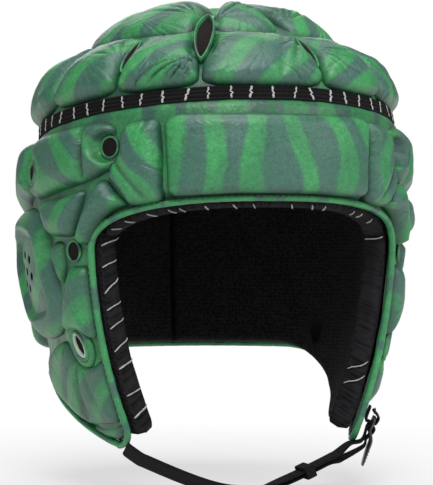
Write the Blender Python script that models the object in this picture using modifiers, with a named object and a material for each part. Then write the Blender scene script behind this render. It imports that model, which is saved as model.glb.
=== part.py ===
"""A soft padded sports headguard with its chin strap, in metres, +Z up.

The front is -Y, the wearer's left is +X, and the origin is at eye level on the head's centre line.
Places on the head are given by a bearing, in degrees from the front towards the wearer's left, and
a level: the height up to the spring line, and from there the length up the crown's arc.
"""

import math

import bmesh
import bpy
from mathutils import Matrix, Vector

# The head form, which the cloth backing lies on
HALF_WIDTH = 0.105
CROWN_HALF_WIDTH = 0.102
FRONT_LENGTH = 0.107
REAR_LENGTH = 0.113
CROWN_HEIGHT = 0.068
SPRING_LEVEL = 0.075
SHOULDER_LEVEL = 0.015
WIDEST_LEVEL = 0.030
TAPER_REACH = 0.235
TAPER_POWER = 2.25
REAR_TAPER_SHARE = 0.9
FLARE_SHARE = 0.5
FLARE_START_BEARING = 66.0
FLARE_END_BEARING = 124.0
NORMAL_STEP_SHARE = 0.001

# The elastic band, which runs higher at the front
BAND_LEVEL = 0.078
BAND_TILT = 0.014
BAND_HEIGHT = 0.0085
BAND_THICKNESS = 0.0030

# The face opening and the lower rim
FACE_HALF_BEARING = 59.0
FACE_SPRING_LEVEL = 0.005
FACE_TOP_LEVEL = 0.035
FACE_ARCH_POWER = 2.4
JAW_LEVEL = -0.1045
JAW_CORNER_RISE = 0.012
JAW_CORNER_BEARING = 9.0
NAPE_LEVEL = -0.055
RIM_START_BEARING = 62.0
RIM_END_BEARING = 136.0

# Layers
COVER_THICKNESS = 0.0015
LINER_THICKNESS = 0.0130
CROWN_LINER_THICKNESS = 0.0100
LAYER_GAP = 0.0004
LINER_GAP = 0.0014
CROWN_LINER_GAP = 0.0006
BAND_GAP = 0.0008
LINER_LIP = 0.005
LINER_JAW_CUT = 0.004
SEAM_GAP = 0.001
LINER_SEAM = 0.0018
BINDING_RADIUS = 0.0021

# Pads
PAD_THICKNESS = 0.012
LOWER_PAD_THICKNESS = 0.013
EAR_PAD_THICKNESS = 0.016
PATCH_THICKNESS = 0.0026
PAD_SEAM_RISE = 0.0010
PAD_SPREAD_SHARE = 0.5
PAD_SQUARENESS = 2.8
PAD_CORNER_SHARE = 0.3
PAD_RINGS = 6
CROWN_FALL = 0.0055
CROWN_FALL_SHARE = 0.45
EAR_RINGS = 10
EAR_RIM_SHARE = 0.74
EAR_RIM_WIDTH_SHARE = 0.2
EAR_DISH = 0.0045
EAR_HOLE_RADIUS = 0.0021
EAR_FALL_SHARE = 0.15
EAR_FULL_LEVEL = 0.012
EAR_HOLE_SPACING = 0.0095
EAR_HOLE_DEPTH = 0.009
EAR_HOLE_BEARING = 97.0
EAR_HOLE_LEVEL = -0.006
EAR_HOLES_ROUND = 6
CHANNEL_WIDTH = 0.0040
CHANNEL_DEPTH = 0.0050

# Vent rings and eyelets
VENT_RADIUS = 0.0060
VENT_WIRE = 0.0012
EYELET_HALF_WIDTH = 0.0050
EYELET_HALF_HEIGHT = 0.0068
EYELET_WIRE = 0.0014
REAR_SLOT_HALF_WIDTH = 0.0045
REAR_SLOT_HALF_HEIGHT = 0.0075
REAR_SLOT_BEARING = 113.5
REAR_SLOT_LEVEL = -0.047

# The webbing
WEBBING_WIDTH = 0.016
WEBBING_THICKNESS = 0.0014
WEBBING_END_WIDTH = 0.008
WEBBING_TAPER = 0.006
STRAP_SETBACK = 0.0027
SWING_INSET = 0.0191
SWING_DROP = 0.0080
SWING_GAP = 0.0006
STRAP_SLOPE_SHARE = 0.5
STRAP_ROUNDING = 0.024
TAIL_DROP = 0.0042
TAIL_LIE = 0.0024
TAIL_LENGTH = 0.038
KEEPER_INSET = 0.020
KEEPER_LENGTH = 0.006
KEEPER_WALL = 0.0012
KEEPER_CLEARANCE = 0.0005
KEEPER_TRAVEL = 0.006
LEAD_TOP_DROP = 0.0002
LEAD_INSET = 0.0121
LEAD_INNER_STOP = 0.0045
LEAD_OUTER_STOP = 0.0010

# The ladder-lock buckle, on the wearer's left jaw
BUCKLE_BEARING = 64.0
BUCKLE_LIFT = 0.0090
BUCKLE_RISE = 0.0062
BUCKLE_WIDTH = 0.0215
BUCKLE_THICKNESS = 0.0020
BAR_HALF_WIDTH = 0.0009
LOOP_BAR_REACH = 0.0065
LOOP_PLAY = 0.0026
LOOP_END_PLAY = 0.0006
LOOP_LENGTH = 0.0060
FRONT_BAR_REACH = 0.0062
FRONT_BAR_RISE = 0.0027
LIP_REACH = 0.0215
LIP_RISE = 0.0034
SLOT_WIDTH = 0.0172
BEND_GAP = 0.0004
BEND_CHAMFER = 0.0005

CUT_OVERRUN = 0.004
SMALL_SHARE = 0.01

COLOURS = {
    "padding": ((0.10, 0.32, 0.14, 1), 0.45),
    "leather": ((0.08, 0.27, 0.13, 1), 0.55),
    "backing": ((0.03, 0.14, 0.07, 1), 0.6),
    "binding": ((0.02, 0.19, 0.07, 1), 0.5),
    "lining": ((0.012, 0.012, 0.014, 1), 0.9),
    "elastic": ((0.02, 0.017, 0.018, 1), 0.85),
    "webbing": ((0.010, 0.010, 0.011, 1), 0.8),
    "plastic": ((0.012, 0.012, 0.013, 1), 0.35),
    "ring": ((0.35, 0.45, 0.38, 1), 0.4),
}


def clear_scene():
    for obj in list(bpy.data.objects):
        bpy.data.objects.remove(obj, do_unlink=True)


def collection(name):
    made = bpy.data.collections.new(name)
    bpy.context.scene.collection.children.link(made)
    return made


clear_scene()
PARTS = collection("padded_headguard")
CUTTERS = collection("cutters")


def material(name):
    found = bpy.data.materials.get(name)
    if found:
        return found
    colour, roughness = COLOURS[name]
    made = bpy.data.materials.new(name)
    made.use_nodes = True
    shader = made.node_tree.nodes["Principled BSDF"]
    shader.inputs["Base Color"].default_value = colour
    shader.inputs["Roughness"].default_value = roughness
    shader.inputs["Metallic"].default_value = 0
    made.diffuse_color = colour
    return made


def add_object(name, data, slot):
    obj = bpy.data.objects.new(name, data)
    data.materials.append(material(slot))
    PARTS.objects.link(obj)
    return obj


def mix(a, b, share):
    return a + (b - a) * share


def smooth_step(low, high, value):
    share = min(1, max(0, (value - low) / (high - low)))
    return share * share * (3 - 2 * share)


def wrapped(bearing):
    """How far a bearing is from the front, 0 to 180."""
    return abs((bearing + 180) % 360 - 180)


def form_point(bearing, level):
    """The point of the head form at a bearing in degrees and a level."""
    turn = math.radians(bearing)
    angle = min(max(0, level - SPRING_LEVEL) / CROWN_HEIGHT, math.pi / 2)
    taper = (max(0, WIDEST_LEVEL - level) / TAPER_REACH) ** TAPER_POWER
    taper *= 1 - FLARE_SHARE * smooth_step(FLARE_START_BEARING, FLARE_END_BEARING, wrapped(bearing))
    shoulder = smooth_step(SHOULDER_LEVEL, SPRING_LEVEL, level)
    width = mix(HALF_WIDTH, CROWN_HALF_WIDTH, shoulder) * (1 - taper)
    if math.cos(turn) > 0:
        length = FRONT_LENGTH
    else:
        length = REAR_LENGTH * (1 - REAR_TAPER_SHARE * taper)
    shrink = math.cos(angle)
    height = min(level, SPRING_LEVEL) + CROWN_HEIGHT * math.sin(angle)
    return Vector((width * shrink * math.sin(turn), -length * shrink * math.cos(turn), height))


CROWN_TOP_LEVEL = SPRING_LEVEL + CROWN_HEIGHT * math.pi / 2


def form_normal(bearing, level):
    step = CROWN_HEIGHT * NORMAL_STEP_SHARE
    if level > CROWN_TOP_LEVEL - 2 * step:
        return Vector((0, 0, 1))
    turn = math.degrees(NORMAL_STEP_SHARE)
    along = form_point(bearing + turn, level) - form_point(bearing - turn, level)
    up = form_point(bearing, level + step) - form_point(bearing, level - step)
    return along.cross(up).normalized()


def on_form(bearing, level, rise=0):
    """A point that stands out from the head form by the rise."""
    return form_point(bearing, level) + form_normal(bearing, level) * rise


def band_level(bearing):
    return BAND_LEVEL + BAND_TILT * math.cos(math.radians(bearing))


def rim_level(bearing):
    """The lower rim, from the jaw tips up to the nape."""
    return mix(JAW_LEVEL, NAPE_LEVEL, smooth_step(RIM_START_BEARING, RIM_END_BEARING, abs(bearing)))


def face_half_bearing(level):
    """Half the width of the face opening at a level, as a bearing."""
    corner_level = JAW_LEVEL + JAW_CORNER_RISE
    if level < corner_level:
        drop = min(1, (corner_level - level) / JAW_CORNER_RISE)
        return FACE_HALF_BEARING + JAW_CORNER_BEARING * (1 - math.sqrt(1 - drop * drop))
    rise = max(0, (level - FACE_SPRING_LEVEL) / (FACE_TOP_LEVEL - FACE_SPRING_LEVEL))
    return FACE_HALF_BEARING * max(0, 1 - rise**FACE_ARCH_POWER) ** (1 / FACE_ARCH_POWER)


def face_top_level(bearing):
    """The level of the face opening's upper edge at a bearing."""
    across = min(1, abs(bearing) / FACE_HALF_BEARING)
    arch = (1 - across**FACE_ARCH_POWER) ** (1 / FACE_ARCH_POWER)
    return FACE_SPRING_LEVEL + (FACE_TOP_LEVEL - FACE_SPRING_LEVEL) * arch


def degrees_of(length):
    """The bearing that a length spans on the side of the form."""
    return math.degrees(length / HALF_WIDTH)


def bearing_shift(level, length):
    """The bearing that a length spans at a level of the form."""
    point = form_point(90, level)
    return math.degrees(length / max(point.x, length))


def mesh_object(name, bm, slot, auto_angle=50):
    data = bpy.data.meshes.new(name)
    bm.to_mesh(data)
    bm.free()
    data.shade_smooth()
    data.set_sharp_from_angle(angle=math.radians(auto_angle))
    return add_object(name, data, slot)


def solidify(obj, thickness, offset):
    shell = obj.modifiers.new("Shell", "SOLIDIFY")
    shell.thickness = thickness
    shell.offset = offset
    shell.use_even_offset = True
    return obj


def cut(obj, cutter):
    """Takes the cutter out of the object."""
    for owner in list(cutter.users_collection):
        owner.objects.unlink(cutter)
    CUTTERS.objects.link(cutter)
    cutter.hide_render = True
    cutter.display_type = "WIRE"
    boolean = obj.modifiers.new("Cut", "BOOLEAN")
    boolean.operation = "DIFFERENCE"
    boolean.solver = "EXACT"
    boolean.object = cutter


def form_layer(name, place, columns, rows, thickness, slot, closed=False):
    """A layer on the form: place(across, up), both 0 to 1, gives its outer face as bearing, level, rise."""
    bm = bmesh.new()
    bmesh.ops.create_grid(bm, x_segments=columns, y_segments=rows, size=1)
    extruded = bmesh.ops.extrude_face_region(bm, geom=bm.faces, use_keep_orig=True)["geom"]
    inner = [item for item in extruded if isinstance(item, bmesh.types.BMVert)]
    bmesh.ops.translate(bm, verts=inner, vec=(0, 0, -1))
    bmesh.ops.recalc_face_normals(bm, faces=bm.faces)
    if closed:
        ends = [face for face in bm.faces if all(abs(vert.co.x) > 1 - SMALL_SHARE for vert in face.verts)]
        bmesh.ops.delete(bm, geom=ends, context="FACES")
    for vert in bm.verts:
        bearing, level, rise = place((vert.co.x + 1) / 2, (vert.co.y + 1) / 2)
        vert.co = on_form(bearing, level, rise + thickness * vert.co.z)
    bmesh.ops.remove_doubles(bm, verts=bm.verts, dist=LAYER_GAP / 4)
    bmesh.ops.delete(bm, geom=[edge for edge in bm.edges if edge.is_wire], context="EDGES")
    return mesh_object(name, bm, slot)


def rounded_outline(corners, corner_share, extra):
    """Points round a polygon whose corners are parabolas; extra points lie on each straight side."""
    points = []
    count = len(corners)
    for i, corner in enumerate(corners):
        before, after = corners[i - 1], corners[(i + 1) % count]
        start, end = mix(corner, before, corner_share), mix(corner, after, corner_share)
        points.append(start)
        points.append((start + end + 2 * corner) / 4)
        points.append(end)
        next_start = mix(after, corner, corner_share)
        for k in range(extra):
            points.append(mix(end, next_start, (k + 1) / (extra + 1)))
    return points


def pillow_rise(spread, thickness):
    swell = max(0, 1 - spread**PAD_SQUARENESS) ** (1 / PAD_SQUARENESS)
    return PAD_SEAM_RISE + (thickness - PAD_SEAM_RISE) * swell


def facet_sag(outline, middle, rings):
    """How far a pad's flat facets lie below the round form."""
    radius = form_point(90, middle.y).x
    half_span = max(abs(point.x - middle.x) for point in outline)
    steps = [2 * half_span / rings]
    for a, b in zip(outline, outline[1:] + outline[:1]):
        steps.append(abs(a.x - b.x))
    return radius * (1 - math.cos(math.radians(max(steps) / 2)))


def pad(name, corners, thickness, slot="padding", extra=1, rings=PAD_RINGS, dish=None,
        corner_share=PAD_CORNER_SHARE, twist=0):
    """A sewn pad: a pillow on the form inside rounded corners, each a bearing and a level.

    dish(spread, bearing, level) is how much lower the top lies there, for channels and hollows.
    """
    outline = rounded_outline([Vector(corner) for corner in corners], corner_share, extra)
    turned = sum(a.x * b.y - b.x * a.y for a, b in zip(outline, outline[1:] + outline[:1]))
    if turned < 0:
        outline.reverse()
    middle = sum(outline, Vector((0, 0))) / len(outline)
    lift = LAYER_GAP + facet_sag(outline, middle, rings)
    bm = bmesh.new()
    bmesh.ops.create_uvsphere(bm, u_segments=len(outline), v_segments=rings, radius=1)
    for vert in bm.verts:
        reach = min(1, math.hypot(vert.co.x, vert.co.y))
        index = round(math.atan2(vert.co.y, vert.co.x) / math.tau * len(outline))
        edge = outline[index % len(outline)]
        upper = vert.co.z > -SMALL_SHARE
        spread = reach**PAD_SPREAD_SHARE if upper else math.asin(reach) / (math.pi / 2)
        if reach < SMALL_SHARE:
            spread = 0
        bearing, level = mix(middle, edge, spread)
        rise = lift
        if upper:
            rise = pillow_rise(spread, thickness)
            if dish:
                rise = max(PAD_SEAM_RISE, rise - dish(spread, bearing, level))
            rise += lift
        vert.co = on_form(bearing + twist, level, rise)
    return mesh_object(name, bm, slot)


def mirrored(corners):
    return [(-bearing, level) for bearing, level in reversed(corners)]


def both_sides(name, corners, thickness, **options):
    """The pad on the wearer's left, and its mirror image on the right."""
    left = pad(name + "_left", corners, thickness, **options)
    dish = options.pop("dish", None)
    if dish:
        options["dish"] = lambda spread, bearing, level: dish(spread, -bearing, level)
    right = pad(name + "_right", mirrored(corners), thickness, **options)
    return left, right


def channel(start, end):
    """A sewn channel along the line between two places, each a bearing and a level."""
    start, end = form_point(*start), form_point(*end)
    line = end - start

    def depth(_spread, bearing, level):
        point = form_point(bearing, level) - start
        along = min(1, max(0, point.dot(line) / line.length_squared))
        away = (point - line * along).length / CHANNEL_WIDTH
        return CHANNEL_DEPTH * math.exp(-away * away)

    return depth


def edge_path(inset=0):
    """The closed line of the side panel's edge, or a line that far inside the panel."""
    corner_level = JAW_LEVEL + JAW_CORNER_RISE
    corner_end = FACE_HALF_BEARING + JAW_CORNER_BEARING
    arch_steps, side_steps, corner_steps, rim_steps = 12, 5, 3, 11
    side_bearing = FACE_HALF_BEARING + bearing_shift(FACE_SPRING_LEVEL, inset)
    path = []
    for k in range(arch_steps):
        turn = math.pi / 2 * k / arch_steps
        across, up = math.sin(turn), math.cos(turn)
        bearing = side_bearing * across ** (2 / FACE_ARCH_POWER)
        arch = (FACE_TOP_LEVEL - FACE_SPRING_LEVEL + inset) * up ** (2 / FACE_ARCH_POWER)
        path.append((bearing, FACE_SPRING_LEVEL + arch))
    for k in range(side_steps):
        level = mix(FACE_SPRING_LEVEL, corner_level, k / side_steps)
        path.append((FACE_HALF_BEARING + bearing_shift(level, inset), level))
    for k in range(corner_steps):
        turn = math.pi / 2 * k / corner_steps
        reach = JAW_CORNER_BEARING - bearing_shift(JAW_LEVEL, inset)
        path.append((corner_end - reach * math.cos(turn),
                     corner_level - (JAW_CORNER_RISE - inset) * math.sin(turn)))
    for k in range(rim_steps + 1):
        bearing = mix(corner_end, 180, k / rim_steps)
        path.append((bearing, rim_level(bearing) + inset))
    mirror = [(-bearing, level) for bearing, level in reversed(path[1:-1])]
    return path + mirror


def make_covers():
    """The thin backing of the crown and of the side panel."""
    crown = form_layer(
        "crown_cover",
        lambda across, up: (
            360 * across,
            mix(band_level(360 * across) + SEAM_GAP / 2, CROWN_TOP_LEVEL, up),
            0,
        ),
        36, 5, COVER_THICKNESS, "backing", closed=True,
    )
    return crown, make_side_cover()


def make_side_cover():
    """The backing between the band and the edge of the face opening and the lower rim."""
    edge = edge_path(BINDING_RADIUS + 3 * LAYER_GAP)
    lengths = [0]
    for before, after in zip(edge, edge[1:] + edge[:1]):
        lengths.append(lengths[-1] + (on_form(*after) - on_form(*before)).length)

    def place(across, up):
        index = round(across * len(edge))
        bearing, level = edge[index % len(edge)]
        top_bearing = 360 * lengths[index] / lengths[-1]
        if index > len(edge) / 2:
            bearing = bearing + 360 if bearing else 360
        return (mix(bearing, top_bearing, up),
                mix(level, band_level(top_bearing) - SEAM_GAP / 2, up), 0)

    return form_layer("side_cover", place, len(edge), 6, COVER_THICKNESS, "backing", closed=True)


def make_liners():
    """The foam and mesh lining: crown, brow, and one side liner to the nape on each side."""
    depth = -(COVER_THICKNESS + LINER_GAP)
    crown = form_layer(
        "crown_liner",
        lambda across, up: (
            360 * across,
            mix(band_level(360 * across) + SEAM_GAP, CROWN_TOP_LEVEL, up),
            -(COVER_THICKNESS + CROWN_LINER_GAP),
        ),
        36, 5, CROWN_LINER_THICKNESS, "lining", closed=True,
    )
    seam_bearing = FACE_HALF_BEARING - degrees_of(LINER_LIP)

    def brow_place(across, up):
        bearing = (2 * across - 1) * (seam_bearing - degrees_of(LINER_SEAM))
        low = face_top_level(bearing) - LINER_LIP
        return bearing, mix(low, band_level(bearing) - SEAM_GAP, up), depth

    form_layer("brow_liner", brow_place, 16, 3, LINER_THICKNESS, "lining")
    for side, name in ((1, "side_liner_left"), (-1, "side_liner_right")):

        def side_place(across, up, side=side):
            share = across if side > 0 else 1 - across
            far = 180 - degrees_of(SEAM_GAP)
            bearing = mix(seam_bearing, far, share)
            low = max(rim_level(bearing), JAW_LEVEL + LINER_JAW_CUT)
            level = mix(low, band_level(bearing) - SEAM_GAP, up)
            start = seam_bearing + face_half_bearing(min(level, 0)) - FACE_HALF_BEARING
            return side * mix(start, far, share), level, depth

        form_layer(name, side_place, 20, 8, LINER_THICKNESS, "lining")


def tube(name, points, radius, slot, resolution=1):
    """A closed round tube through the points."""
    curve = bpy.data.curves.new(name, "CURVE")
    curve.dimensions = "3D"
    curve.bevel_depth = radius
    curve.bevel_resolution = resolution
    spline = curve.splines.new("POLY")
    spline.points.add(len(points) - 1)
    for point, place in zip(spline.points, points):
        point.co = (*place, 1)
    spline.use_cyclic_u = True
    return add_object(name, curve, slot)


def make_binding():
    rise = BINDING_RADIUS - COVER_THICKNESS + LAYER_GAP / 2
    return tube("edge_binding", [on_form(*place, rise) for place in edge_path()],
                BINDING_RADIUS, "binding")


def make_band():
    """The ribbed elastic round the crown."""
    return form_layer(
        "elastic_band",
        lambda across, up: (
            360 * across,
            band_level(360 * across) + (up - 0.5) * BAND_HEIGHT,
            BAND_GAP + BAND_THICKNESS,
        ),
        52, 1, BAND_THICKNESS, "elastic", closed=True,
    )


# Crown pads: edges of the gores as bearings, and their levels as shares of the crown's arc
GORE_BEARINGS = (-21.0, 21.0, 49.0, 78.0, 111.0, 145.0)
GORE_NAMES = ("front_left", "side_left", "back_side_left", "rear_side_left")
TIER_SHARE = 0.46
CROWN_FOOT = 0.0054
CROWN_TURN = -2.0
GORE_HALF_GAP = 0.0011
SLIT_HALF_WIDTH = 0.0042
SLIT_LOW_SHARE = 0.3
SLIT_MIDDLE_SHARE = 0.62
TOP_RING_SHARE = 0.95
TOP_EDGE_BEARINGS = (22.0, 111.0)


def crown_level(bearing, share):
    """A share of the way from the band up to the apex."""
    return mix(band_level(bearing), CROWN_TOP_LEVEL, share)


def gore(start, end):
    """The corners of a lower-tier crown pad, drawn in half-way up each side for the vent slits."""
    tier_start, tier_end = crown_level(start, TIER_SHARE), crown_level(end, TIER_SHARE)
    foot_start, foot_end = band_level(start) + CROWN_FOOT, band_level(end) + CROWN_FOOT
    corners = []
    for bearing, foot, top, side in ((start, foot_start, tier_start, 1), (end, foot_end, tier_end, -1)):
        low = mix(foot, top, SLIT_LOW_SHARE)
        middle = mix(foot, top, SLIT_MIDDLE_SHARE)
        ladder = [
            (bearing + side * bearing_shift(foot, GORE_HALF_GAP), foot),
            (bearing + side * bearing_shift(low, GORE_HALF_GAP), low),
            (bearing + side * bearing_shift(middle, SLIT_HALF_WIDTH), middle),
            (bearing + side * bearing_shift(top, GORE_HALF_GAP), top),
        ]
        corners += ladder[::-1] if side > 0 else ladder
    return corners


def crown_dish(channel_depth=None):
    """How a crown pad thins towards the line between the tiers, with a channel where it has one."""
    def depth(spread, bearing, level):
        foot, apex = band_level(bearing), CROWN_TOP_LEVEL
        share = (level - foot) / (apex - foot)
        if share < TIER_SHARE:
            fall = smooth_step(TIER_SHARE * CROWN_FALL_SHARE, TIER_SHARE, share)
        else:
            fall = 1 - smooth_step(TIER_SHARE, mix(TIER_SHARE, 1, CROWN_FALL_SHARE), share)
        sewn = channel_depth(spread, bearing, level) if channel_depth else 0
        return sewn + CROWN_FALL * fall
    return depth


def make_crown_pads():
    front_channel = channel(
        (GORE_BEARINGS[1] * 0.2, band_level(0) + CROWN_FOOT),
        (GORE_BEARINGS[1] * 0.8, crown_level(GORE_BEARINGS[1], TIER_SHARE)),
    )
    pad("crown_pad_front", gore(GORE_BEARINGS[0], GORE_BEARINGS[1]), PAD_THICKNESS,
        dish=crown_dish(front_channel), rings=8, twist=CROWN_TURN)
    for start, end, name in zip(GORE_BEARINGS[1:], GORE_BEARINGS[2:], GORE_NAMES):
        both_sides("crown_pad_" + name[:-5], gore(start, end), PAD_THICKNESS, extra=0,
                   dish=crown_dish(), twist=CROWN_TURN)
    back = GORE_BEARINGS[-1]
    rear = gore(back, 360 - back)
    pad("crown_pad_rear", rear, PAD_THICKNESS, rings=8, twist=CROWN_TURN,
        dish=crown_dish(channel((180, NAPE_LEVEL), (180, crown_level(180, 1)))))


def top_sector(start, end, columns):
    """The corners of an upper-tier pad between two bearings."""
    def row(share, inset):
        corners = []
        for k in range(columns + 1):
            bearing = mix(start, end, k / columns)
            level = crown_level(bearing, share)
            side = 1 if k == 0 else -1 if k == columns else 0
            corners.append((bearing + side * bearing_shift(level, inset), level))
        return corners

    tier_gap = 2 * GORE_HALF_GAP / (CROWN_TOP_LEVEL - BAND_LEVEL)
    low = row(TIER_SHARE + tier_gap, GORE_HALF_GAP)
    high = row(TOP_RING_SHARE, GORE_HALF_GAP)
    return low + high[::-1]


def make_top_pads():
    front, back = TOP_EDGE_BEARINGS
    pad("top_pad_front", top_sector(-front, front, 1), PAD_THICKNESS, dish=crown_dish(),
        twist=CROWN_TURN)
    pad("top_pad_rear", top_sector(back, 360 - back, 3), PAD_THICKNESS, extra=0,
        dish=crown_dish(), twist=CROWN_TURN)
    middle = GORE_BEARINGS[3]
    crease = channel((middle, crown_level(middle, TIER_SHARE)), (middle, crown_level(middle, 1)))
    both_sides("top_pad", top_sector(front, back, 2), PAD_THICKNESS, rings=8,
               dish=crown_dish(crease), twist=CROWN_TURN)


# Side pads: a bearing, and a share of the band's level above eye level or of the jaw's below it
SIDE_SHARES = {
    "temple_pad": ((33.2, 0.398), (45.8, 0.362), (45.2, 0.895), (33.2, 0.90)),
    "temple_roll": ((47.3, 0.355), (53.0, 0.30), (58.3, 0.215), (61.2, 0.10), (62.3, 0.13),
                    (60.8, 0.33), (57.6, 0.475), (55.4, 0.59), (47.3, 0.59)),
    "upper_side_pad": ((57.0, 0.60), (59.0, 0.495), (72.0, 0.44), (87.4, 0.40), (87.4, 0.895),
                       (57.0, 0.895)),
    "temple_triangle_pad": ((64.2, 0.17), (77.0, 0.17), (80.5, 0.36), (72.0, 0.425), (61.2, 0.475),
                            (62.5, 0.33)),
    "rear_side_pad": ((91.6, 0.49), (98.0, 0.475), (113.0, 0.33), (118.6, 0.33), (118.6, 0.885),
                      (91.6, 0.89)),
    "sideburn_pad": ((73.6, 0.13), (78.6, 0.13), (79.0, 0.03), (76.4, -0.05), (74.8, -0.13),
                     (73.4, -0.03)),
    "cheek_pad": ((61.8, -0.045), (68.0, -0.045), (70.8, -0.10), (74.6, -0.24), (75.4, -0.335),
                  (72.0, -0.345), (68.0, -0.362), (64.5, -0.40), (61.8, -0.385)),
    "jaw_pad": ((61.8, -0.745), (72.0, -0.80), (80.0, -0.80), (88.0, -0.735), (94.0, -0.62),
                (93.5, -0.545), (87.0, -0.49), (81.5, -0.50), (78.0, -0.57), (70.0, -0.59),
                (61.8, -0.58)),
    "jaw_patch": ((62.0, -0.775), (63.4, -0.90), (68.0, -0.955), (78.0, -0.915), (83.0, -0.84),
                  (72.0, -0.83)),
    "neck_side_pad": ((119.2, -0.515), (150.8, -0.47), (150.8, 0.275), (119.4, 0.275)),
    "occipital_pad": ((119.9, 0.315), (179.1, 0.315), (179.1, 0.895), (119.9, 0.89)),
}
FOREHEAD_HALF_BEARING = 31.8
FOREHEAD_LOW_SHARE = 0.394
FOREHEAD_MIDDLE_SHARE = 0.416
FOREHEAD_HIGH_SHARE = 0.90
NECK_SHARES = ((152.5, -0.47), (207.5, -0.47), (207.5, 0.275), (152.5, 0.275))
EAR_OUTLINE_SHARES = ((86.0, -0.425), (94.5, -0.44), (102.5, -0.39), (111.0, -0.22), (116.5, 0.03),
                      (115.5, 0.25), (105.0, 0.42), (92.0, 0.40), (84.0, 0.29), (80.8, 0.15),
                      (80.2, 0.02), (77.5, -0.09), (76.2, -0.18), (76.6, -0.28), (80.0, -0.37))
VENT_SHARES = {"upper": (52.0, 0.74), "lower": (68.0, 0.06)}
EYELET_SHARE = (71.5, -0.459)
# How thick some side pads are, as a share of the others
THICKNESS_SHARES = {"sideburn_pad": 0.65, "cheek_pad": 0.72, "jaw_pad": 0.5, "neck_side_pad": 1.3,
                    "neck_pad": 1.1}


def side_level(bearing, share):
    return share * (band_level(bearing) if share > 0 else -JAW_LEVEL)


def side_corners(shares):
    return [(bearing, side_level(bearing, share)) for bearing, share in shares]


def make_forehead():
    side = FOREHEAD_HALF_BEARING
    shares = [(-side, FOREHEAD_HIGH_SHARE), (-side, FOREHEAD_LOW_SHARE), (-side / 3, FOREHEAD_MIDDLE_SHARE),
              (side / 3, FOREHEAD_MIDDLE_SHARE), (side, FOREHEAD_LOW_SHARE), (side, FOREHEAD_HIGH_SHARE)]
    pad("forehead_pad", side_corners(shares), LOWER_PAD_THICKNESS, rings=8, slot="leather",
        corner_share=0.2)


def make_side_pads():
    dishes = {
        "upper_side_pad": channel((60.5, 0), (60.5, BAND_LEVEL)),
        "occipital_pad": channel((148.0, 0), (148.0, BAND_LEVEL)),
        "jaw_pad": channel((78.5, JAW_LEVEL), (82.5, 0)),
    }
    for name, shares in SIDE_SHARES.items():
        corners = side_corners(shares)
        thickness = LOWER_PAD_THICKNESS * THICKNESS_SHARES.get(name, 1)
        if name == "jaw_patch":
            thickness = PATCH_THICKNESS
        slot = "leather" if name == "jaw_patch" else "padding"
        rings = 8 if name in dishes else PAD_RINGS
        extra = 1 if len(corners) < 5 else 0
        if name == "occipital_pad":
            extra = 2
        both_sides(name, corners, thickness, slot=slot, rings=rings, extra=extra,
                   dish=dishes.get(name))
    pad("neck_pad", side_corners(NECK_SHARES), LOWER_PAD_THICKNESS * THICKNESS_SHARES["neck_pad"],
        extra=2)


def ear_dish(spread, _bearing, level):
    """The hollow inside the ear pad's raised rim, and how the pad thins towards its foot."""
    hollow = EAR_DISH * (1 - smooth_step(EAR_RIM_SHARE - EAR_RIM_WIDTH_SHARE, EAR_RIM_SHARE, spread))
    return hollow + EAR_FALL_SHARE * max(0, EAR_FULL_LEVEL - level)


def hole_cutter(name, bearing, level, radius_x, radius_z, low, high, sides):
    """A cylinder that stands square to the form, from one rise to another."""
    bm = bmesh.new()
    bmesh.ops.create_cone(bm, cap_ends=True, segments=sides, radius1=1, radius2=1, depth=1)
    normal = form_normal(bearing, level)
    along = Vector((0, 0, 1)).cross(normal).normalized()
    turn = Matrix((along, normal.cross(along), normal)).transposed().to_4x4()
    size = Matrix.Diagonal((radius_x, radius_z, high - low, 1))
    place = Matrix.Translation(on_form(bearing, level, (low + high) / 2))
    bmesh.ops.transform(bm, verts=bm.verts, matrix=place @ turn @ size)
    return mesh_object(name, bm, "backing")


def make_ear_pads():
    corners = side_corners(EAR_OUTLINE_SHARES)
    pads = both_sides("ear_pad", corners, EAR_PAD_THICKNESS, rings=EAR_RINGS, extra=0,
                      dish=ear_dish)
    low = EAR_PAD_THICKNESS - EAR_DISH - EAR_HOLE_DEPTH
    for obj, side in zip(pads, (1, -1)):
        for k in range(EAR_HOLES_ROUND + 1):
            turn = math.tau * k / EAR_HOLES_ROUND
            reach = EAR_HOLE_SPACING if k < EAR_HOLES_ROUND else 0
            bearing = EAR_HOLE_BEARING + degrees_of(reach * math.cos(turn))
            level = EAR_HOLE_LEVEL + reach * math.sin(turn)
            cut(obj, hole_cutter("ear_hole_cutter", side * bearing, level, EAR_HOLE_RADIUS,
                                 EAR_HOLE_RADIUS, low, EAR_PAD_THICKNESS + CUT_OVERRUN, 8))


def ring(name, bearing, level, half_width, half_height, wire, slot):
    """An oval ring that lies on the form."""
    rise = LAYER_GAP + wire
    normal = form_normal(bearing, level)
    along = Vector((0, 0, 1)).cross(normal).normalized()
    up = normal.cross(along)
    middle = on_form(bearing, level, rise)
    points = []
    for k in range(14):
        turn = math.tau * k / 14
        points.append(middle + along * half_width * math.cos(turn) + up * half_height * math.sin(turn))
    return tube(name, points, wire, slot, resolution=0)


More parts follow.
